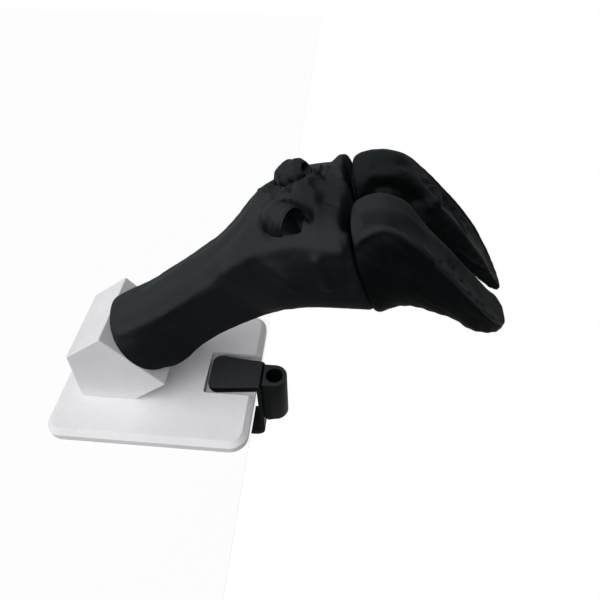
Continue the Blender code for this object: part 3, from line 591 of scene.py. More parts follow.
class Surface:
    """A mesh gathered from grids of points in millimetres."""

    def __init__(self, name: str) -> None:
        """Start an empty surface.

        Args:
            name: Name of its piece.
        """
        self.name = name
        self.points: list[Array] = []
        self.faces: list[Array] = []
        self.count = 0

    def add_rings(self, rings: Array) -> None:
        """Add closed rings, skinned one to the next.

        Quad (i, j) joins points j and j + 1 of rings i and i + 1.

        Args:
            rings: Rings by points by 3.
        """
        rows, columns = rings.shape[:2]
        index = np.arange(rows * columns).reshape(rows, columns) + self.count
        following = np.roll(index, -1, axis=1)
        quads = np.stack([index[:-1], following[:-1], following[1:], index[1:]], axis=-1)
        self.points.append(rings.reshape(-1, 3))
        self.faces.append(quads.reshape(-1, 4))
        self.count += rows * columns

    def add_cap(self, ring: Array, steps: int) -> None:
        """Close a ring with smaller and smaller copies of it about its middle.

        Args:
            ring: Points by 3.
            steps: Number of copies.
        """
        middle = ring.mean(axis=0)
        shrink = np.linspace(1.0, 0.0, steps + 1)[:, None, None]
        self.add_rings(middle + (ring[None] - middle) * shrink)

    def add_solid(self, rings: Array, first_steps: int = 1, last_steps: int = 1) -> None:
        """Add rings and a cap at each end.

        Args:
            rings: Rings by points by 3.
            first_steps: Steps of the cap on the first ring.
            last_steps: Steps of the cap on the last ring.
        """
        self.add_rings(rings)
        self.add_cap(rings[0], first_steps)
        self.add_cap(rings[-1], last_steps)

    def make(self, smooth_angle: float = 40.0) -> Piece:
        """Weld the grids into one mesh with its faces outwards.

        Args:
            smooth_angle: Edges sharper than this many degrees stay sharp.

        Returns:
            The piece, linked to the scene.
        """
        mesh = bpy.data.meshes.new(self.name)
        points = (np.concatenate(self.points) * MM).astype(np.float32)
        faces = np.concatenate(self.faces).astype(np.int32)
        mesh.vertices.add(len(points))
        mesh.vertices.foreach_set("co", points.ravel())
        mesh.loops.add(faces.size)
        mesh.loops.foreach_set("vertex_index", faces.ravel())
        mesh.polygons.add(len(faces))
        mesh.polygons.foreach_set("loop_start", np.arange(0, faces.size, 4, dtype=np.int32))
        mesh.update(calc_edges=True)
        shape = bmesh.new()
        shape.from_mesh(mesh)
        bmesh.ops.remove_doubles(shape, verts=shape.verts, dist=WELD)
        bmesh.ops.dissolve_degenerate(shape, edges=shape.edges, dist=SLIVER)
        bmesh.ops.recalc_face_normals(shape, faces=shape.faces)
        shape.to_mesh(mesh)
        shape.free()
        piece = bpy.data.objects.new(self.name, mesh)
        bpy.context.scene.collection.objects.link(piece)
        smooth(piece, smooth_angle)
        return piece


def smooth(piece: Piece, angle: float) -> None:
    """Shade a piece smooth, apart from edges sharper than an angle in degrees."""
    piece.data.shade_smooth()
    piece.data.set_sharp_from_angle(angle=math.radians(angle))


def along_axis(origin: Point, axis: Point, local: Array) -> Array:
    """Carry points from a local frame with Z as its axis.

    Args:
        origin: Origin of the local frame.
        axis: Direction of its Z axis.
        local: Points in the local frame, any layout by 3.

    Returns:
        The points in the part's frame.
    """
    turn = np.array(Vector(axis).to_track_quat("Z", "Y").to_matrix())
    return local @ turn.T + np.array(origin, float)


def turned_rings(radius: Array, height: Array, points: int, factor: Optional[Array] = None) -> Array:
    """Turn a profile about Z.

    Formula: ring i is (r cos f, r sin f, z) with r and z from the profile, and r times the factor at f.

    Args:
        radius: Radii of the profile.
        height: Heights of the profile.
        points: Points in a ring.
        factor: Optional factors on the radius, rings or one row by points.

    Returns:
        Rings by points by 3.
    """
    angle = circle(points)
    reach = np.asarray(radius, float)[:, None] * (np.ones_like(angle) if factor is None else factor)
    level = np.asarray(height, float)[:, None] * np.ones_like(angle)
    return np.stack([reach * np.cos(angle), reach * np.sin(angle), level], axis=2)


def polygon_factor(points: int, sides: int) -> Array:
    """Return a polygon's radii for an inner radius of 1: 1 / cos of the angle from the nearest flat."""
    wedge = 2 * math.pi / sides
    return 1.0 / np.cos((circle(points) + wedge / 2) % wedge - wedge / 2)


def threaded_rings(levels: Array, radius: float, pitch: float, cut: Array, points: int) -> Array:
    """Return the rings of a thread.

    Formula: the radius is less by the cut times |2p - 1|, where p is the fraction of z / pitch - f / 2 pi.

    Args:
        levels: Heights of the rings.
        radius: Outer radius.
        pitch: Height of one turn.
        cut: Depth of the thread at each ring.
        points: Points in a ring.

    Returns:
        Rings by points by 3.
    """
    phase = (levels[:, None] / pitch - circle(points) / (2 * math.pi)) % 1.0
    rings = turned_rings(np.full(len(levels), radius), levels, points)
    rings[..., :2] *= (1.0 - cut[:, None] * np.abs(2.0 * phase - 1.0) / radius)[..., None]
    return rings


def softened(node: str, edge: float, bend: Optional[Point] = None) -> Piece:
    """Copy a CAD node, weld it and round its edges.

    Args:
        node: Name of the node.
        edge: Width of the rounding in millimetres, on the edges that aren't nearly flat.
        bend: X and Z of one straight edge along Y that is bent more, and the radius of the bend.

    Returns:
        The piece, named after the node.
    """
    shape = bmesh.new()
    shape.from_mesh(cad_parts[node].data)
    bmesh.ops.remove_doubles(shape, verts=shape.verts, dist=CAD_WELD)
    bmesh.ops.dissolve_limit(
        shape, angle_limit=math.radians(FLAT_ANGLE), verts=shape.verts, edges=shape.edges, delimit={"NORMAL"}
    )
    if bend is not None:
        place = np.array(bend[:2]) * MM
        found = {v for v in shape.verts if np.hypot(*(np.array(v.co.xz) - place)) < BEND_SEARCH * MM}
        edges = [e for e in shape.edges if found.issuperset(e.verts)]
        bmesh.ops.bevel(
            shape, geom=edges, offset=bend[2] * MM, segments=BEND_STEPS, profile=0.5, affect="EDGES",
        )
    shape.verts.index_update()
    mesh = bpy.data.meshes.new(node + "_dressed")
    mesh.from_pydata([v.co[:] for v in shape.verts], [], [[v.index for v in f.verts] for f in shape.faces])
    shape.free()
    piece = bpy.data.objects.new(node + "_dressed", mesh)
    bpy.context.scene.collection.objects.link(piece)
    bevel = piece.modifiers.new("edges", "BEVEL")
    bevel.width = edge * MM
    bevel.segments = EDGE_STEPS
    bevel.limit_method = "ANGLE"
    bevel.angle_limit = math.radians(EDGE_ANGLE)
    bevel.use_clamp_overlap = True
    smooth(piece, 180.0)
    bevel.harden_normals = True
    return piece


def hollowed(piece: Piece, cutter: Piece) -> None:
    """Cut a shape out of a piece and remove the cutter.

    Args:
        piece: The piece.
        cutter: The shape to cut out.
    """
    modifier = piece.modifiers.new("hollow", "BOOLEAN")
    modifier.operation = "DIFFERENCE"
    modifier.solver = "EXACT"
    modifier.object = cutter
    bpy.context.view_layer.update()
    result = bpy.data.meshes.new_from_object(piece.evaluated_get(bpy.context.evaluated_depsgraph_get()))
    piece.modifiers.remove(modifier)
    old, piece.data = piece.data, result
    bpy.data.meshes.remove(old)
    bpy.data.objects.remove(cutter)
    piece.data.name = piece.name


def drilled(piece: Piece, origin: Point, axis: Point, radius: float, span: Span, points: int) -> None:
    """Drill a round hole in a piece.

    Args:
        piece: The piece.
        origin: Point on the hole's axis.
        axis: Direction of the hole.
        radius: Radius of the hole.
        span: Start and end of the hole along its axis, from the origin.
        points: Points round the hole.
    """
    hole = Surface("round_hole")
    hole.add_solid(along_axis(origin, axis, turned_rings([radius, radius], span, points)))
    hollowed(piece, hole.make())


def settle(piece: Piece, body: str, finish: Finish, *nodes: str) -> Piece:
    """Give a piece its finish, body and slot, and let it stand for its CAD nodes.

    Args:
        piece: The piece.
        body: Name of the body that it rides on.
        finish: Its finish.
        nodes: The CAD nodes that it replaces.

    Returns:
        The piece.
    """
    piece.data.materials.clear()
    piece.data.materials.append(finish.material())
    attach(piece, body)
    if nodes:
        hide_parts(*nodes)
    LOG.info("%s: %d faces on %s", piece.name, len(piece.data.polygons), body)
    return piece


def settle_rings(node: str, rings: Array, smooth_angle: float, body: str, finish: Finish) -> Piece:
    """Build a piece from rings that end in poles, and let it stand for a CAD node.

    Args:
        node: Name of the node.
        rings: Rings by points by 3.
        smooth_angle: Edges sharper than this many degrees stay sharp.
        body: Name of the body that it rides on.
        finish: Its finish.

    Returns:
        The piece.
    """
    surface = Surface(node + "_dressed")
    surface.add_rings(rings)
    return settle(surface.make(smooth_angle), body, finish, node)


def settle_softened(body: str, parts: Sequence[tuple[str, float, Finish]]) -> None:
    """Round the edges of CAD nodes: each part is a node, the width of its rounding and its finish."""
    for node, edge, finish in parts:
        settle(softened(node, edge), body, finish, node)


def repaint(node: str, finish: Finish) -> None:
    """Give a CAD node that keeps its shape a procedural finish.

    Args:
        node: Name of the node.
        finish: Its finish.
    """
    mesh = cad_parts[node].data
    mesh.materials.clear()
    mesh.materials.append(finish.material())
    LOG.info("%s: CAD shape kept", node)


@dataclass(frozen=True)
class SocketScrew:
    """A threaded screw with a hexagon socket in its end, countersunk where its head has a radius."""

    length: float
    radius: float
    pitch: float
    tip_radius: float
    tip_height: float
    key_flats: float
    key_depth: float
    head_radius: float = 0.0
    head_height: float = 0.0
    plain_end: float = 0.4
    rim_levels: Span = (0.25, 0.1)
    rim_chamfer: float = 0.2
    thread_share: float = 0.25
    floor_share: float = 1.15
    smooth_angle: float = 50.0
    points: int = 48

    def rings(self) -> Array:
        """Work out the screw's rings, with the tip at 0 and the socket's end at the length.

        Formula: the flat tip and its cone, then the thread, which fades over one pitch at both ends, then a
        cone to the head, the end face, the socket's wall with the radius of a hexagon, and its floor.

        Returns:
            Rings by points by 3.
        """
        first, last = self.tip_height, self.length - max(self.head_height, self.plain_end)
        levels = np.linspace(first, last, int((last - first) / self.pitch * THREAD_STEPS) + 2)
        fade = np.minimum(
            soft_step(levels, first, first + self.pitch), soft_step(-levels, -last, -last + self.pitch)
        )
        cut = self.thread_share * self.pitch * fade
        rim, key, end = self.head_radius or self.radius, self.key_flats / 2, self.length
        land = [end - self.rim_levels[0], end - self.rim_levels[1], end]
        depths = [end, end - self.key_depth, end - self.key_depth * self.floor_share]
        return np.concatenate([
            turned_rings([0.0, self.tip_radius], [0.0, 0.0], self.points),
            threaded_rings(levels, self.radius, self.pitch, cut, self.points),
            turned_rings([rim, rim, rim - self.rim_chamfer], land, self.points),
            turned_rings([key, key, 0.0], depths, self.points, polygon_factor(self.points, 6)),
        ])

    def place(self, node: str, tip: Point, axis: Point, body: str) -> Piece:
        """Build the screw for a CAD node.

        Args:
            node: Name of the node.
            tip: Place of the screw's tip.
            axis: Direction from the tip to the socket.
            body: Name of the body that it rides on.

        Returns:
            The piece.
        """
        return settle_rings(node, along_axis(tip, axis, self.rings()), self.smooth_angle, body, PLATED_STEEL)


# Leg and claws


@dataclass(frozen=True)
class JointPlane:
    """The plane where the claws meet the leg, with the square pegs that cross it."""

    palmar: Span = (135.3, 189.0)
    dorsal: Span = (158.0, 124.0)
    peg_side: float = 14.6
    peg_reach: float = 22.3
    peg_offset: float = 26.5

    @property
    def axis(self) -> Array:
        """Work out the direction in which the claws pull off.

        Returns:
            The unit direction, square to the plane.
        """
        rise = np.array(self.palmar) - np.array(self.dorsal)
        axis = np.array([rise[1], 0.0, -rise[0]])
        return axis / np.linalg.norm(axis)

    def peg_centre(self, side: Side) -> Array:
        """Return the middle of a peg, in the joint plane."""
        middle = (np.array(self.palmar) + np.array(self.dorsal)) / 2
        return np.array([middle[0], side.value * self.peg_offset, middle[1]])

    def peg_cutter(self, side: Side) -> Piece:
        """Build a square prism for a peg's hole: four corners carried along the pull axis.

        Args:
            side: The peg's side.

        Returns:
            The cutter.
        """
        corner = np.array([[1, 1], [-1, 1], [-1, -1], [1, -1]], float) * self.peg_side / 2
        upright = np.cross(self.axis, (0.0, 1.0, 0.0))
        flat = corner[:, :1] * upright + corner[:, 1:] * np.array([0.0, 1.0, 0.0])
        reach = np.array([-1.0, 1.0])[:, None, None] * self.peg_reach * self.axis
        cutter = Surface("peg_hole")
        cutter.add_solid(self.peg_centre(side) + flat[None] + reach)
        return cutter.make()


JOINT = JointPlane()


@dataclass
class Dewclaw:
    """One of the two dewclaws: an egg with growth bands and a cup in its tip, in a seat on the leg.

    Attributes:
        side: The claw that it stands behind.
        centre: Centre of the egg.
        radii: Radii of the egg, the first towards its tip.
        dip: Degrees that its tip is turned down.
        toe_out: Degrees that its tip is turned away from the camera, or towards it where negative.
        cut: Place of the cup's rim on the egg's axis, in radii.
        tilt: How far the rim is set back at its top, in radii.
        slant: How far the rim reaches forward at its far side, in radii.
        floor: Place of the cup's floor on the egg's axis, in radii.
        bands: Place, width and height of each growth band, in radii.
        pit_depth: Depth of the skin's pit in front of the cup.
        gap: Depth of the skin's gap along the egg's far side.
        folds: Number of folds in the skin round the egg.
        mound: Height of the first fold.
        folds_towards: Direction of the folds from the egg, in its own frame.
        finish: Finish of the egg.
    """

    side: Side
    centre: Point
    radii: Point
    dip: float
    toe_out: float
    cut: float
    tilt: float
    slant: float
    floor: float
    bands: Line
    pit_depth: float
    gap: float
    folds: int
    mound: float
    folds_towards: Point
    finish: Finish
    first_fold: float = 1.05
    fold_step: float = 0.3
    fold_fade: float = 0.85
    fold_width: float = 0.4
    crease_share: float = 1.5
    crease_width: float = 0.13
    gap_place: float = 1.15
    gap_width: float = 0.18
    pit_ramp: Span = (0.5, 6.5)
    pit_end: Span = (7.6, 10.2)
    pit_middle: float = -1.5
    pit_sides: Span = (4.5, 8.5)
    palmar_levels: Span = (140.0, 160.0)
    cup_bulge: float = 1.2
    lip: float = 0.06
    points: int = 96
    rows: int = 70
    cup_rows: int = 24

    def turn(self) -> Array:
        """Work out the rotation from the egg's own frame, which has X towards its tip.

        Returns:
            A 3 by 3 matrix.
        """
        out = Matrix.Rotation(math.radians(self.toe_out), 3, "Z")
        dip = Matrix.Rotation(math.radians(self.dip), 3, "Y")
        return np.array(out @ dip)

    def seat(self, at: Array) -> Array:
        """Return the height of the skin round the egg.

        Formula: folds, each a mound and a crease half as deep again, that run round the egg on one side and
        get weaker outwards; a pit in front of its cup that goes down evenly on its way to the tip, with steep
        sides; and a narrow gap along the egg's far side.

        Args:
            at: Points, any layout by 3.

        Returns:
            Heights in millimetres in the layout of the points.
        """
        out = at - np.array(self.centre)
        local = out @ self.turn() / np.array(self.radii)
        depth = np.linalg.norm(local, axis=-1)
        fold = np.zeros_like(depth)
        for count in range(self.folds):
            away = depth - self.first_fold - self.fold_step * count
            crest = bell(away - self.fold_step / 2, self.fold_width / self.folds)
            crease = self.crease_share * bell(away, self.crease_width)
            fold += self.mound * self.fold_fade**count * (crest - crease)
        shown = soft_step(local @ np.array(self.folds_towards), -0.3, 0.3)
        pit = np.interp(out[..., 0], self.pit_ramp, (0.0, 1.0))
        pit *= 1.0 - soft_step(out[..., 0], *self.pit_end)
        pit *= 1.0 - soft_step(np.abs(out[..., 1] - self.pit_middle), *self.pit_sides)
        pit *= soft_step(at[..., 2], *self.palmar_levels)
        gap = bell(depth - self.gap_place, self.gap_width) * soft_step(local[..., 1], 0.0, 0.7)
        return shown * fold - np.maximum(self.pit_depth * pit, self.gap * gap)

    def grid(self) -> Array:
        """Work out the egg's rings.

        Formula: a ball of (cos a, sin a cos f, sin a sin f) up to a rim where cos a is cut - tilt sin f +
        slant cos f, then a parabola with a small lip from the rim to the floor of the cup. Growth rings and
        bands run round the ball, the radii scale it, and a ripple makes it uneven.

        Returns:
            Rings by points by 3.
        """
        around = circle(self.points)
        rim = np.arccos(self.cut - self.tilt * np.sin(around) + self.slant * np.cos(around))
        polar = math.pi + (rim - math.pi) * np.linspace(0.0, 1.0, self.rows)[:, None] ** 0.8
        along, reach = np.cos(polar), np.sin(polar)
        ball = np.stack([along, reach * np.cos(around), reach * np.sin(around)], axis=2)
        swell = 1.0 + 0.006 * np.sin(along * 24.0) * soft_step(along, -0.5, 0.0)
        swell += sum(height * bell(along - at, width) for at, width, height in self.bands)
        ball = ball * swell[..., None]
        share = np.linspace(0.0, 1.0, self.cup_rows)[1:, None, None]
        forward = np.array([1.0, 0.0, 0.0])
        cup = ball[-1:] * (1.0 - share) + self.floor * forward * share
        cup += (self.lip * bell(share - 0.08, 0.06) - self.cup_bulge * share * (1.0 - share)) * forward
        local = np.concatenate([ball, cup]) * np.array(self.radii)
        local += 0.2 * ripple(local, 6.0, 11 + self.side.value)[..., None] * local / np.array(self.radii)
        return local @ self.turn().T + np.array(self.centre)

    def build(self) -> Piece:
        """Build the dewclaw."""
        return settle_rings(f"dewclaw_{self.side.label}", self.grid(), 60.0, "leg", self.finish)


DEWCLAWS = (
    Dewclaw(
        Side.FRONT, (103.6, -21.5, 179.6), (13.0, 10.4, 10.4), dip=6.0, toe_out=-28.0,
        cut=0.45, tilt=0.25, slant=0.04, floor=-0.1, bands=((-0.58, 0.13, 0.06), (-0.32, 0.12, -0.05)),
        pit_depth=11.0, gap=5.5, folds=1, mound=1.6, folds_towards=(-1.0, 0.0, 0.0), finish=BLACK_PRINT,
    ),
    Dewclaw(
        Side.BACK, (103.8, 20.6, 179.2), (11.6, 11.4, 10.2), dip=-38.0, toe_out=-15.0,
        cut=0.93, tilt=0.03, slant=0.0, floor=0.3,
        bands=((-0.25, 0.1, -0.06), (0.3, 0.13, -0.08), (0.62, 0.12, 0.03)),
        # The far dewclaw's finish is painted shade, the darker copy of the black print.
        pit_depth=0.0, gap=0.0, folds=3, mound=2.0, folds_towards=(0.35, -0.9, 0.0), finish=SHADED_CLAW,
    ),
)

TENDON: Line = (
    (-14.0, -21.0, 74.0), (5.2, -22.0, 87.5), (26.4, -22.4, 102.7), (51.1, -22.7, 125.2),
    (72.5, -26.8, 147.3), (86.4, -32.3, 163.3), (100.0, -34.9, 172.1), (110.9, -35.7, 176.3),
    (123.2, -38.5, 177.0), (134.0, -39.2, 177.0),
)


@dataclass
class Leg:
    """The lower leg, from the slanted face to the claws.

    Columns of the sections: palmar x and z, dorsal x and z, half width, squareness. The carving is on both
    flanks and fades out at both ends. The near tendon's shoulder fades too. The hollow is in the crease at
    the claws, on both sides. The lumps are a bump at the far claw and two flares of the leg's foot.
    """

    sections: Sections = (
        (-22.9, 79.9, 13.1, 31.9, 30.0, 2.0),
        (-2.6, 94.4, 33.6, 48.8, 29.0, 2.0),
        (17.2, 109.7, 52.4, 67.8, 27.2, 2.1),
        (36.3, 125.3, 71.2, 83.7, 28.0, 2.1),
        (54.0, 139.5, 89.0, 97.0, 31.5, 2.1),
        (68.5, 155.0, 104.5, 108.8, 37.0, 2.2),
        (83.5, 173.5, 119.0, 120.0, 43.0, 2.3),
        (100.5, 182.5, 131.5, 123.8, 45.5, 2.4),
        (117.5, 187.0, 145.0, 125.0, 46.5, 2.5),
        (135.3, 189.0, 158.0, 124.0, 46.0, 2.5),
    )
    carving: tuple[Stroke, ...] = (
        # the tendon's ridge, and the groove between the tendons
        Stroke(TENDON, 3.4, 1.2),
        Stroke((
            (-15.3, -4.0, 85.0), (27.5, -8.0, 116.3), (66.7, -8.7, 152.0), (76.7, -8.5, 165.1),
        ), 5.0, -1.3),
        # dents behind the dewclaws and creases between them
        Stroke(((91.3, -29.2, 171.4), (94.6, -29.1, 173.5)), 2.6, -0.9),
        Stroke(((90.3, -25.0, 173.2),), 2.2, -0.8),
        Stroke(((91.2, -6.4, 178.1), (95.8, -6.5, 180.3), (100.7, -8.0, 182.3)), 1.5, -1.6),
        Stroke(((95.6, 1.2, 180.5), (103.2, -0.9, 183.4)), 1.7, -2.0),
        # a fold across the pastern and the hollow in front of it
        Stroke(((113.7, 1.3, 186.2), (116.8, -7.6, 186.6), (120.5, -18.5, 186.0)), 3.5, 2.4),
        Stroke(((121.4, -13.1, 186.9), (123.5, -9.9, 187.6), (128.2, -11.8, 187.8)), 3.5, -2.4),
        # swells and hollows of the flank
        Stroke(((121.9, -42.1, 172.3), (125.6, -45.3, 165.5), (128.4, -46.0, 160.0)), 3.4, 2.6),
        Stroke(((95.0, -40.0, 166.0), (102.0, -42.0, 162.0), (110.0, -43.5, 157.0)), 4.5, 1.6),
        Stroke(((87.9, -35.7, 159.9), (87.7, -37.5, 153.3), (94.3, -40.9, 153.9)), 8.0, -1.8),
        Stroke(((137.0, -40.0, 172.0), (140.0, -44.0, 162.0)), 5.0, -1.6),
    )
    shoulder: Stroke = Stroke(TENDON[4:], 9.0, 2.6)
    hollow: Stroke = Stroke(((136.4, -10.0, 188.6), (136.4, -19.0, 187.4), (136.6, -27.0, 185.2)), 3.2, -9.0)
    lumps: tuple[Stroke, ...] = (
        Stroke(((131.0, 31.0, 183.0), (133.0, 33.0, 182.0)), 4.5, 5.0),
        Stroke(((20.0, -18.0, 44.0), (27.0, -20.0, 52.0)), 9.0, 2.6),
        Stroke(((-21.0, 6.0, 80.0), (-12.0, 6.0, 88.0)), 11.0, 1.8),
    )
    rows: int = 210
    end_rows: int = 14
    points: int = 240
    cap_steps: int = 8
    end_rounding: float = 3.0
    section_step: float = 17.0
    flank_start: Span = (0.2, 1.6)
    flank_end: Span = (4.0, 6.0)
    flank_top: Span = (0.5, 0.62)
    flank_level: float = 0.737
    flank_slope: float = 0.17
    flank_cut: float = 0.8
    claw_fade: float = 6.0
    foot_fade: float = 12.0
    wrinkle: float = 0.8
    wrinkle_start: Span = (108.0, 118.0)
    wrinkle_side: Span = (22.0, 32.0)
    wrinkle_level: Span = (150.0, 170.0)
    face_normal: Point = (0.8, 0.0, 0.6)
    face_centre: Point = (-4.9, 0.0, 55.9)
    gap: float = 0.3
    bore_radius: float = 7.3
    bore: Span = (-2.0, 32.0)

    def places(self) -> Array:
        """Work out the rows' places along the sections, close together at the claw end.

        Returns:
            Places from 0 to the number of sections less 1.
        """
        last = len(self.sections) - 1
        reach = self.end_rounding / self.section_step
        start = np.linspace(0.0, last - reach, self.rows)
        turn = np.linspace(0.0, math.pi / 2, self.end_rows + 1)[1:]
        return np.concatenate([start, last - reach * (1.0 - np.sin(turn))])

    def relief(self, at: Array) -> Array:
        """Return the height of the relief that fades out at both ends.

        Formula: the carving and its mirror image, the near shoulder, wrinkles on the palmar side of the
        pastern, and a coarse and a fine ripple all over.

        Args:
            at: Points, rings by points by 3.

        Returns:
            Heights in millimetres, rings by points.
        """
        x, y, z = np.moveaxis(at, -1, 0)
        height = sum(stroke.lift(at, side) for stroke in self.carving for side in (1, -1))
        height += self.shoulder.lift(at)
        wrinkled = soft_step(x, *self.wrinkle_start) * (1.0 - soft_step(np.abs(y), *self.wrinkle_side))
        height += self.wrinkle * wrinkled * ripple(at, 8.0, 9) * soft_step(z, *self.wrinkle_level)
        return height + 0.25 * ripple(at, 22.0, 5) + 0.08 * ripple(at, 7.0, 6)

    def grid(self) -> Array:
        """Work out the leg's rings.

        Formula: super-ellipse rings along the section table, flattened on the flanks of the shank, raised by
        the relief, the hollow, the lumps and the dewclaws' seats along their normals, and drawn in along a
        quarter circle at the claw end.

        Returns:
            Rings by points by 3.
        """
        table = flowing_rows(self.sections, self.places())
        across, upward = section_directions(self.points, np.repeat(table[:, 5:6], 3, axis=1))
        palmar, dorsal = table[:, 0:2], table[:, 2:4]
        flat = ((palmar + dorsal) / 2)[:, None, :] + ((palmar - dorsal) / 2)[:, None, :] * upward[..., None]
        flank = plateau(self.places()[:, None], self.flank_start, self.flank_end)
        flank = flank * (1.0 - soft_step(upward, *self.flank_top))
        bulge = np.maximum(np.abs(across) - (self.flank_level + self.flank_slope * upward), 0.0)
        across = across - np.sign(across) * self.flank_cut * flank * bulge
        grid = np.stack([flat[..., 0], table[:, 4:5] * across, flat[..., 1]], axis=2)
        normal = ring_normals(grid)
        end = (grid - JOINT.peg_centre(Side.FRONT)) @ JOINT.axis
        start = (grid - np.array(self.face_centre)) @ np.array(self.face_normal)
        fade = soft_step(-end, 0.0, self.claw_fade) * soft_step(start, 0.0, self.foot_fade)
        lift = self.relief(grid) * fade
        lift += self.hollow.lift(grid) + self.hollow.lift(grid, -1)
        lift += sum(lump.lift(grid) for lump in self.lumps)
        lift += sum(dewclaw.seat(grid) for dewclaw in DEWCLAWS)
        into = np.clip(self.end_rounding + end, 0.0, self.end_rounding)
        lift -= self.end_rounding - np.sqrt(self.end_rounding**2 - into**2)
        grid = grid + normal * lift[..., None]
        grid[0] += np.array(self.face_normal) * self.gap
        return grid

    def build(self) -> Piece:
        """Build the leg with its bolt bore and peg holes.

        Returns:
            The piece.
        """
        surface = Surface("leg_dressed")
        surface.add_solid(self.grid(), self.cap_steps, self.cap_steps)
        leg = surface.make()
        drilled(leg, self.face_centre, self.face_normal, self.bore_radius, self.bore, 48)
        for side in Side:
            hollowed(leg, JOINT.peg_cutter(side))
        smooth(leg, 40.0)
        return settle(leg, "leg", BLACK_PRINT, "leg")

    def dress(self) -> None:
        """Build what the leg carries: dewclaws, pegs and the threaded insert."""
        for dewclaw in DEWCLAWS:
            dewclaw.build()
        settle_softened("leg", [(f"claw_peg_{side.label}", 0.4, PLATED_STEEL) for side in Side])
        repaint("leg_insert", BRASS_METAL)


CLAW_SECTIONS: dict[Side, Sections] = {
    Side.FRONT: (
        (136.3, 187.4, 158.0, 125.3, 3.5, 45.0, 2.4, 2.6, 2.2, 0.0, 0.0),
        (142.0, 193.0, 163.5, 128.0, 3.5, 42.0, 2.4, 3.8, 2.2, 0.0, -3.0),
        (152.0, 196.0, 171.0, 130.5, 4.5, 39.2, 2.6, 5.5, 2.2, 0.5, -4.5),
        (163.5, 191.5, 180.0, 130.5, 8.5, 39.2, 3.4, 6.5, 2.2, 3.5, -3.0),
        (177.0, 179.0, 189.5, 127.5, 13.0, 41.5, 5.5, 7.5, 2.2, 7.0, 1.5),
        (191.5, 164.5, 200.0, 124.5, 15.0, 43.0, 9.0, 9.0, 2.2, 8.0, 3.5),
        (206.5, 148.5, 210.0, 118.5, 15.5, 44.0, 10.0, 10.0, 2.2, 8.0, 4.5),
        (219.0, 133.8, 219.5, 115.2, 13.5, 40.8, 10.0, 10.0, 2.2, 6.0, 4.0),
        (228.0, 122.2, 227.0, 112.2, 8.5, 33.0, 8.0, 8.0, 2.2, 2.0, 2.0),
        (233.2, 115.2, 231.8, 110.0, 8.5, 23.5, 5.0, 5.0, 2.0, 0.0, 0.0),
    ),
    Side.BACK: (
        (136.3, 187.4, 158.0, 125.3, 3.5, 45.0, 2.4, 2.4, 2.2, 0.0, 0.0),
        (142.0, 191.4, 163.5, 128.5, 3.5, 45.5, 2.4, 2.3, 2.2, 0.0, 0.0),
        (152.0, 193.4, 171.0, 131.5, 4.5, 45.5, 2.5, 2.4, 2.2, 0.5, 0.5),
        (163.5, 190.5, 180.0, 132.0, 9.0, 45.5, 3.2, 2.9, 2.2, 3.5, 2.0),
        (177.0, 179.0, 189.5, 129.5, 15.0, 46.0, 5.0, 5.0, 2.2, 7.0, 3.0),
        (191.5, 164.5, 200.0, 126.0, 17.0, 46.5, 9.0, 9.0, 2.2, 8.0, 4.5),
        (207.0, 148.0, 210.0, 118.0, 16.5, 47.5, 10.0, 10.0, 2.2, 8.0, 4.5),
        (221.0, 131.5, 220.5, 112.5, 14.0, 45.5, 10.0, 10.0, 2.2, 6.0, 4.0),
        (231.0, 118.3, 229.0, 107.8, 10.0, 39.0, 8.0, 8.0, 2.2, 2.0, 2.0),
        (237.0, 110.0, 234.8, 105.0, 11.0, 27.5, 5.0, 5.0, 2.0, 0.0, 0.0),
    ),
}

CLAW_CARVING: dict[Side, tuple[Stroke, ...]] = {
    Side.FRONT: (
        # the ridge along the heel's outer edge, and the heel's dome
        Stroke((
            (138.8, 40.1, 180.1), (141.0, 39.5, 184.4), (143.8, 39.0, 187.6), (148.2, 38.1, 190.6),
            (153.1, 37.6, 192.1), (158.6, 37.6, 191.2), (164.3, 37.8, 188.4), (171.0, 38.9, 182.8),
            (177.6, 40.2, 176.7),
        ), 2.4, 1.3),
        Stroke((
            (141.0, 9.0, 191.5), (150.0, 9.0, 195.5), (158.0, 10.0, 194.0), (165.0, 12.0, 189.0),
        ), 7.0, 1.8),
    ),
    Side.BACK: (
        # the heel's dent, the cavity under the heel, the recess below that, and the scoop in the sole
        Stroke(((150.7, 17.0, 193.0), (159.9, 20.0, 191.5), (166.6, 24.5, 188.0)), 4.0, -1.8),
        Stroke((
            (152.0, 7.5, 184.0), (161.5, 8.8, 183.0), (169.4, 11.0, 179.5), (177.0, 12.5, 172.6),
        ), 5.0, -4.5),
        Stroke((
            (152.0, 5.5, 174.0), (156.0, 6.0, 173.0), (165.0, 8.0, 170.0), (172.0, 10.0, 165.0),
        ), 8.5, -5.5),
        Stroke((
            (198.0, 36.0, 157.6), (201.3, 33.2, 154.1), (205.4, 29.4, 149.7), (209.3, 25.0, 145.3),
        ), 3.0, -4.0),
    ),
}
TORN_RIDGE = Stroke((
    (181.4, 31.2, 174.6), (187.6, 31.8, 168.5), (189.9, 24.4, 166.1), (184.9, 14.3, 168.6),
), 3.2, 1.7)
TOE_LIP = Stroke(((205.0, 11.7, 137.6), (213.9, 11.9, 130.1), (223.1, 11.7, 124.5)), 1.2, 0.8)
SOLE_PITS: Line = (
    (186.2, 34.4, 169.9), (192.6, 26.8, 163.3), (196.1, 27.7, 159.7), (200.4, 32.4, 155.1),
    (204.7, 37.0, 150.5), (210.2, 36.2, 144.3), (214.8, 33.4, 139.0),
)
# Both claws' finishes are painted shade: darker copies of the black print, the far one with less of the
# lighter film.
CLAW_FINISHES = {Side.FRONT: SHADED_CLAW, Side.BACK: FAR_SHADED_CLAW}


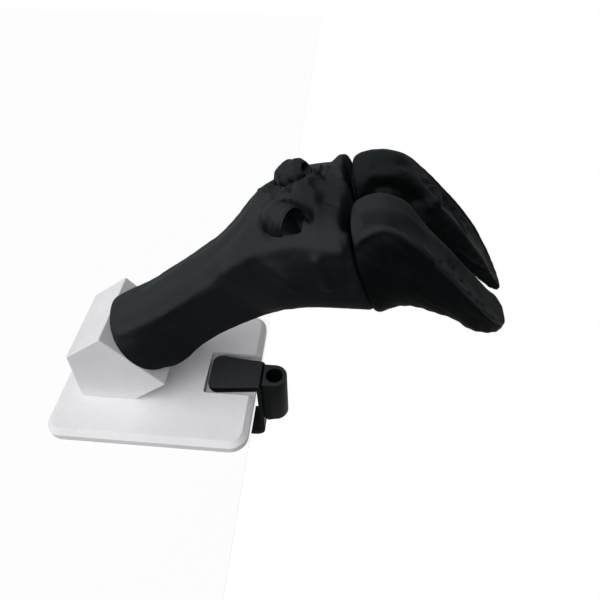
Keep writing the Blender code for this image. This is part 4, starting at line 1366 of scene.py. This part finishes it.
@dataclass
class Claw:
    """A claw that pulls off its peg.

    Columns of its sections: palmar x and z, dorsal x and z, inner and outer distance from the middle plane
    at the sole, power of the palmar half's inner and outer quarter, power of the dorsal half, and how far
    the inner and the outer wall shift towards the middle plane on their way to the dorsal side.
    """

    side: Side
    rows: int = 190
    points: int = 224
    cap_steps: tuple[int, int] = (8, 5)
    rounding: float = 3.5
    sole_edge: Span = (0.5, 0.9)
    sole_start: Span = (3.6, 4.8)
    sole_end: Span = (7.6, 8.9)
    sole_hollow: float = 1.8
    sole_groove: float = 0.7
    groove_place: float = 0.72
    groove_width: float = 0.08
    wall_edge: Span = (0.3, 0.75)
    ring_start: Span = (1.0, 2.5)
    ring_rate: float = 9.0
    ring_height: float = 0.14
    pit_depth: float = 2.2
    pit_warp: float = 0.9
    shelf_depth: float = 7.2
    shelf_inner: Span = (24.0, 32.0)
    shelf_outer: Span = (31.5, 40.0)
    shelf_start: Span = (132.0, 145.0)
    shelf_end: Span = (162.0, 182.0)
    shelf_edge: Span = (0.3, 0.6)
    grub_radius: float = 2.8
    grub_along: float = 13.0
    grub_hole: Span = (6.0, 47.0)
    grub_tip: float = 7.3
    grub: SocketScrew = SocketScrew(
        length=12.0, radius=2.5, pitch=0.8, tip_radius=1.6, tip_height=0.9, key_flats=2.5, key_depth=3.0,
    )

    def grid(self) -> Array:
        """Work out the claw's rings on the +Y side.

        Formula: super-ellipse rings along the section table, with their walls shifted in proportion to the
        way towards the dorsal side, raised by the relief along their normals. The joint edge is drawn in
        along a quarter circle.

        Returns:
            Rings by points by 3.
        """
        sections = CLAW_SECTIONS[self.side]
        place = (len(sections) - 1) * np.linspace(0.0, 1.0, self.rows) ** 1.1
        table = flowing_rows(sections, place)
        across, upward = section_directions(self.points, table[:, 6:9])
        palmar, dorsal = table[:, 0:2], table[:, 2:4]
        reach = (palmar - dorsal) / 2
        inner, outer = table[:, 4:5], table[:, 5:6]
        flat = ((palmar + dorsal) / 2)[:, None, :] + reach[:, None, :] * upward[..., None]
        shift = np.where(across > 0.0, table[:, 10:11], table[:, 9:10]) * np.abs(across) * (1.0 - upward) / 2
        width = (inner + outer) / 2 + (outer - inner) / 2 * across - shift
        grid = np.stack([flat[..., 0], width, flat[..., 1]], axis=2)
        normal = ring_normals(grid)
        row = place[:, None] * np.ones_like(across)
        depth = (grid - JOINT.peg_centre(Side.BACK)) @ JOINT.axis
        into = np.clip(self.rounding - depth, 0.0, self.rounding)
        lift = self.relief(grid, row, across, upward) * soft_step(row, 0.0, 0.5)
        lift -= self.rounding - np.sqrt(self.rounding**2 - into**2)
        return grid + normal * lift[..., None]

    def relief(self, grid: Array, row: Array, across: Array, upward: Array) -> Array:
        """Return the height of the relief.

        Formula: the sole is hollowed by 1 - u^2 across the claw, with a groove inside its outer edge, and has
        pits whose rims are warped by a ripple; growth rings run round the walls; the carving of the side and
        a lip at the toe are added. The near heel steps down to a shelf beside its ridge, and the far claw has
        a torn ridge at the start of its sole.

        Args:
            grid: Points, rings by points by 3.
            row: Places of the points along the sections.
            across: Places across the claw, -1 at the inner wall and 1 at the outer wall.
            upward: Places from the dorsal side at -1 to the palmar side at 1.

        Returns:
            Heights in millimetres, rings by points.
        """
        mark = self.side.value
        sole = soft_step(upward, *self.sole_edge) * plateau(row, self.sole_start, self.sole_end)
        wall = 1.0 - soft_step(upward, *self.wall_edge)
        hollow = self.sole_hollow * np.clip(1.0 - across**2, 0.0, 1.0)
        height = -sole * (hollow + self.sole_groove * bell(across - self.groove_place, self.groove_width))
        rings = np.sin(row * self.ring_rate + 1.3 * np.sin(across * 3.0 + mark))
        height += self.ring_height * wall * rings * soft_step(row, *self.ring_start)
        height += 0.3 * ripple(grid, 26.0, 20 + mark) + 0.1 * ripple(grid, 7.0, 30 + mark)
        warped = grid + self.pit_warp * ripple(grid, 4.0, 50)[..., None]
        for number, pit in enumerate(SOLE_PITS):
            height += Stroke((pit,), 1.6 + 0.3 * (number % 3), -self.pit_depth).lift(warped)
        height += TOE_LIP.lift(grid) + sum(stroke.lift(grid) for stroke in CLAW_CARVING[self.side])
        if self.side is Side.FRONT:
            shelf = plateau(grid[..., 1], self.shelf_inner, self.shelf_outer)
            shelf *= plateau(grid[..., 0], self.shelf_start, self.shelf_end)
            return height - self.shelf_depth * shelf * soft_step(upward, *self.shelf_edge)
        return height + TORN_RIDGE.lift(grid) * (1.0 + 0.8 * ripple(grid, 5.0, 40))

    def build(self) -> Piece:
        """Build the claw with its peg hole and the hole for its grub screw.

        Returns:
            The piece.
        """
        node = f"claw_{self.side.label}"
        surface = Surface(node + "_dressed")
        surface.add_solid(self.grid() * np.array([1.0, self.side.value, 1.0]), *self.cap_steps)
        claw = surface.make()
        hollowed(claw, JOINT.peg_cutter(self.side))
        drilled(claw, *self.grub_line(), self.grub_radius, self.grub_hole, 32)
        smooth(claw, 38.0)
        return settle(claw, node, CLAW_FINISHES[self.side], node)

    def grub_line(self) -> tuple[Array, Array]:
        """Work out the grub screw's axis.

        Returns:
            Its start on the peg's axis and its direction, towards the dorsal side.
        """
        dorsal = np.cross((0.0, 1.0, 0.0), JOINT.axis)
        dorsal = dorsal if dorsal[2] < 0.0 else -dorsal
        return JOINT.peg_centre(self.side) + JOINT.axis * self.grub_along, dorsal

    def dress(self) -> Piece:
        """Build the claw's grub screw.

        Returns:
            The piece.
        """
        origin, axis = self.grub_line()
        tip = origin + self.grub_tip * axis
        return self.grub.place(f"claw_screw_{self.side.label}", tip, axis, f"claw_{self.side.label}")


# Stand


@dataclass
class Stand:
    """The white plate and the faceted block on it, with their fasteners."""

    screw_x: Span = (-48.0, -23.0)
    screw_y: Span = (-21.0, 21.0)
    gap: float = 0.3
    screw: SocketScrew = SocketScrew(
        length=22.0, radius=2.0, pitch=1.2, tip_radius=1.2, tip_height=2.0, key_flats=2.5, key_depth=1.6,
        head_radius=4.0, head_height=2.4,
    )

    def build(self) -> None:
        """Build the plate and the block as rounded copies of their solids."""
        settle_softened("stand", (("base_plate", 0.45, WHITE_PLASTIC), ("facet_block", 0.5, WHITE_PLASTIC)))

    def dress(self) -> None:
        """Build the block's screws, the leg bolt and its washer."""
        spots = [(x, y) for x in self.screw_x for y in self.screw_y]
        for number, (x, y) in enumerate(spots, start=1):
            tip = (x, y, self.gap + self.screw.length)
            self.screw.place(f"block_screw_{number}", tip, (0.0, 0.0, -1.0), "stand")
        settle_softened("stand", (("leg_bolt", 0.4, PLATED_STEEL), ("leg_washer", 0.25, PLATED_STEEL)))


# Clamp


@dataclass
class Clamp:
    """The bench clamp with its lamp socket, screw, swivel pad and knob."""

    screw_x: float = 46.0
    screw_radius: float = 4.0
    screw_length: float = 72.0
    pitch: float = 1.25
    thread_share: float = 0.3
    shoulder: float = -34.1
    tip_radius: float = 3.2
    tip_length: float = 3.7
    tip_chamfer: float = 0.5
    thread_start: float = 0.8
    thread_end: float = 0.6
    thread_fade: Span = (1.0, 3.0)
    shoulder_chamfer: float = 0.4
    end_chamfer: float = 0.5
    screw_points: int = 56
    knob_radius: float = 14.0
    knob_height: float = 14.0
    knob_overhang: float = 2.0
    knob_points: int = 192
    face_share: float = 0.8
    face_rise: float = 0.8
    edge_rise: float = 2.6
    crown: float = 2.0
    grip_ends: Span = (4.0, 2.2)
    collar_radius: float = 8.5
    collar_chamfer: float = 0.5
    bore_clearance: float = 0.3
    bore_chamfer: float = 0.6
    bore_floor: float = 1.7
    flutes: int = 8
    flute_depth: float = 0.10
    flute_edge: Span = (0.78, 0.97)
    spine_x: float = 75.9
    spine_bend: Point = (79.2, 10.0, 3.1)
    socket_screw_y: Span = (-5.0, 5.0)
    socket_screw_z: float = -34.5
    socket_screw: SocketScrew = SocketScrew(
        length=11.0, radius=1.5, pitch=0.7, tip_radius=0.9, tip_height=1.2, key_flats=2.0, key_depth=1.1,
        head_radius=2.8, head_height=1.6,
    )

    def build(self) -> None:
        """Build the casting, the lamp socket and the jaw pad as rounded copies of their solids."""
        settle(softened("clamp_frame", 0.7, bend=self.spine_bend), "clamp", BLACK_SATIN, "clamp_frame")
        settle_softened("clamp", (("clamp_socket", 0.6, BLACK_SATIN), ("jaw_pad", 0.3, BLACK_RUBBER)))
        for number, y in enumerate(self.socket_screw_y, start=1):
            tip = (self.spine_x + self.socket_screw.length, y, self.socket_screw_z)
            self.socket_screw.place(f"socket_screw_{number}", tip, (-1.0, 0.0, 0.0), "clamp")

    def dress(self) -> None:
        """Build the swivel pad, its facing, the threaded screw and the fluted knob."""
        settle_softened("clamp_pad", (("swivel_pad", 0.5, BLACK_SATIN), ("pad_facing", 0.4, BLACK_RUBBER)))
        settle_rings("clamp_screw", self.screw_rings(), 50.0, "clamp_screw", PLATED_STEEL)
        settle_rings("clamp_knob", self.knob_rings(), 35.0, "clamp_screw", BLACK_SATIN)

    def screw_rings(self) -> Array:
        """Work out the clamp screw's rings: a round tip, a thread below the shoulder, and a flat end.

        Returns:
            Rings by points by 3.
        """
        points, radius, shoulder = self.screw_points, self.screw_radius, self.shoulder
        low, tip = shoulder - self.screw_length, shoulder + self.tip_length
        steps = int(self.screw_length / self.pitch * THREAD_STEPS)
        levels = np.linspace(shoulder - self.thread_start, low + self.thread_end, steps)
        cut = self.thread_share * self.pitch * soft_step(shoulder - levels, *self.thread_fade)
        face, neck = self.tip_radius - self.tip_chamfer, self.tip_radius
        start = turned_rings(
            [0.0, face, neck, neck, radius - self.shoulder_chamfer],
            [tip, tip, tip - self.tip_chamfer, shoulder, shoulder], points,
        )
        thread = threaded_rings(levels, radius, self.pitch, cut, points)
        end = turned_rings([radius - self.end_chamfer, 0.0], [low, low], points)
        return np.concatenate([start, thread, end]) + np.array([self.screw_x, 0.0, 0.0])

    def knob_rings(self) -> Array:
        """Work out the knob's rings.

        Formula: a turned profile with a domed lower end, a rounded edge and crown and a blind bore. At angle
        f its radius on the grip is less by the flutes' depth, as a share of it, times the eighth power of
        cos(n f / 2), where n is the number of flutes.

        Returns:
            Rings by points by 3.
        """
        radius, low = self.knob_radius, self.shoulder - self.screw_length - self.knob_overhang
        top, bore = low + self.knob_height, self.screw_radius + self.bore_clearance
        face, floor = radius * self.face_share, low + self.bore_floor
        bend = np.linspace(0.0, math.pi / 2, 12)
        rise, turn = 1.0 - np.cos(bend), np.sin(bend)
        grip = np.linspace(low + self.grip_ends[0], top - self.grip_ends[1], 10)
        edge = np.column_stack([face + (radius - face) * turn, low + self.face_rise + self.edge_rise * rise])
        rows = np.concatenate([
            np.column_stack([face * turn, low + self.face_rise * rise]),
            edge[1:],
            np.column_stack([np.full_like(grip, radius), grip]),
            np.column_stack([radius - self.crown * rise, top - self.crown + self.crown * turn]),
            [(self.collar_radius, top), (self.collar_radius - self.collar_chamfer, top)],
            [(bore + self.bore_chamfer, top), (bore, top - self.bore_chamfer), (bore, floor), (0.0, floor)],
        ])
        weight = soft_step(rows[:, 0] / radius, *self.flute_edge)[:, None]
        factor = 1.0 - self.flute_depth * weight * np.cos(circle(self.knob_points) * self.flutes / 2) ** 8
        rings = turned_rings(rows[:, 0], rows[:, 1], self.knob_points, factor)
        return rings + np.array([self.screw_x, 0.0, 0.0])


# Studio


@dataclass
class Studio:
    """The bench, the light and the camera."""

    bench_edge: float = 75.55
    bench_size: float = 1600.0
    bench_thickness: float = 4.0
    bench_roughness: float = 0.8
    bench_white: float = 0.97
    bench_bounce: float = 0.2
    bench_glow: float = 0.87
    image_size: float = 600.0
    focal_pixels: float = 530.89
    sensor: float = 36.0
    yaw: float = 0.098
    pitch: float = 0.819
    roll: float = -0.012
    camera_place: Point = (132.50, -237.64, 353.70)
    key_direction: Point = (-0.38, -0.45, 0.81)
    key_strength: float = 2.6
    key_spread: float = 75.0
    ambient: float = 0.2

    def build(self) -> None:
        """Build the bench, the key light, the world and the camera."""
        self.build_bench()
        self.build_key()
        self.build_world()
        self.build_camera()
        bpy.context.scene.view_settings.view_transform = "Standard"

    def build_bench(self) -> None:
        """Build the pale bench slab that the clamp holds, with its edge under the clamp's spine."""
        low_x, high_x = self.bench_edge - self.bench_size, self.bench_edge
        half = self.bench_size / 2
        corner = np.array([[low_x, -half], [high_x, -half], [high_x, half], [low_x, half]])
        surface = Surface("bench")
        levels = (-self.bench_thickness, 0.0)
        surface.add_solid(np.stack([np.column_stack([corner, np.full(4, z)]) for z in levels]))
        bench = surface.make(30.0)
        bench.data.materials.append(self.bench_material())

    @staticmethod
    def seen_by_eye(tree: Tree) -> Socket:
        """Make a mask that is 1 for camera, glossy and transmission rays.

        Args:
            tree: The node tree.

        Returns:
            The mask's socket.
        """
        path = tree.nodes.new("ShaderNodeLightPath")
        eye = add_math(tree, "MAXIMUM", path.outputs["Is Camera Ray"], path.outputs["Is Glossy Ray"])
        return add_math(tree, "MAXIMUM", eye, path.outputs["Is Transmission Ray"])

    @staticmethod
    def mix_shaders(tree: Tree, factor: Socket, first: Socket, second: Socket, output: str) -> None:
        """Mix two shaders by a mask into an output node.

        Args:
            tree: The node tree.
            factor: Mask socket.
            first: Shader where the mask is 0.
            second: Shader where the mask is 1.
            output: Name of the output node.
        """
        mix = tree.nodes.new("ShaderNodeMixShader")
        for socket, value in zip(mix.inputs, (factor, first, second)):
            tree.links.new(value, socket)
        tree.links.new(mix.outputs["Shader"], tree.nodes[output].inputs["Surface"])

    def bench_material(self) -> bpy.types.Material:
        """Make the bench's white: partly lit, so it keeps the object's shadow, and partly plain white.

        Returns:
            The material.
        """
        material = bpy.data.materials.new("bench_white")
        material.use_nodes = True
        tree = material.node_tree
        shader = tree.nodes["Principled BSDF"]
        shader.inputs["Roughness"].default_value = self.bench_roughness
        shader.inputs["Specular IOR Level"].default_value = 0.0
        glow = tree.nodes.new("ShaderNodeEmission")
        glow.inputs["Color"].default_value = (1.0, 1.0, 1.0, 1.0)
        seen = self.seen_by_eye(tree)
        tint = Finish.mix(tree, seen, (*[self.bench_bounce] * 3, 1.0), (*[self.bench_white] * 3, 1.0))
        tree.links.new(tint, shader.inputs["Base Color"])
        share = add_math(tree, "MULTIPLY", seen, self.bench_glow)
        self.mix_shaders(tree, share, shader.outputs["BSDF"], glow.outputs["Emission"], "Material Output")
        return material

    def build_key(self) -> None:
        """Build the soft key light from its direction."""
        light = bpy.data.lights.new("key", "SUN")
        light.energy = self.key_strength
        light.angle = math.radians(self.key_spread)
        lamp = bpy.data.objects.new("key", light)
        bpy.context.scene.collection.objects.link(lamp)
        direction = Vector(self.key_direction).normalized()
        lamp.location = direction
        lamp.rotation_euler = direction.to_track_quat("Z", "Y").to_euler()

    def build_world(self) -> None:
        """Build the world: white where it is seen, dim where it lights."""
        world = bpy.data.worlds.new("studio")
        world.use_nodes = True
        tree = world.node_tree
        dim, white = tree.nodes["Background"], tree.nodes.new("ShaderNodeBackground")
        for sky, strength in ((dim, self.ambient), (white, 1.0)):
            sky.inputs["Color"].default_value = (1.0, 1.0, 1.0, 1.0)
            sky.inputs["Strength"].default_value = strength
        seen = self.seen_by_eye(tree)
        self.mix_shaders(tree, seen, dim.outputs["Background"], white.outputs["Background"], "World Output")
        bpy.context.scene.world = world

    def build_camera(self) -> None:
        """Build the camera from its yaw, downward pitch and roll."""
        data = bpy.data.cameras.new("camera")
        data.sensor_width = self.sensor
        data.lens = self.focal_pixels * self.sensor / self.image_size
        data.clip_start = 0.01
        camera = bpy.data.objects.new("camera", data)
        bpy.context.scene.collection.objects.link(camera)
        level = math.cos(self.pitch)
        forward = Vector((-math.sin(self.yaw) * level, math.cos(self.yaw) * level, -math.sin(self.pitch)))
        right = Vector((math.cos(self.yaw), math.sin(self.yaw), 0.0))
        up = right.cross(forward)
        tilted_right = right * math.cos(self.roll) + up * math.sin(self.roll)
        tilted_up = up * math.cos(self.roll) - right * math.sin(self.roll)
        axes = Matrix((tilted_right, tilted_up, -forward)).transposed()
        camera.matrix_world = Matrix.Translation(Vector(self.camera_place) * MM) @ axes.to_4x4()
        bpy.context.scene.camera = camera


def main() -> None:
    """Build the pieces in order."""
    logging.basicConfig(level=logging.INFO, format="%(name)s %(message)s")
    Studio().build()
    for group in (Stand(), Leg(), *map(Claw, Side), Clamp()):
        group.build()
        group.dress()


if __name__ == "__main__":
    main()
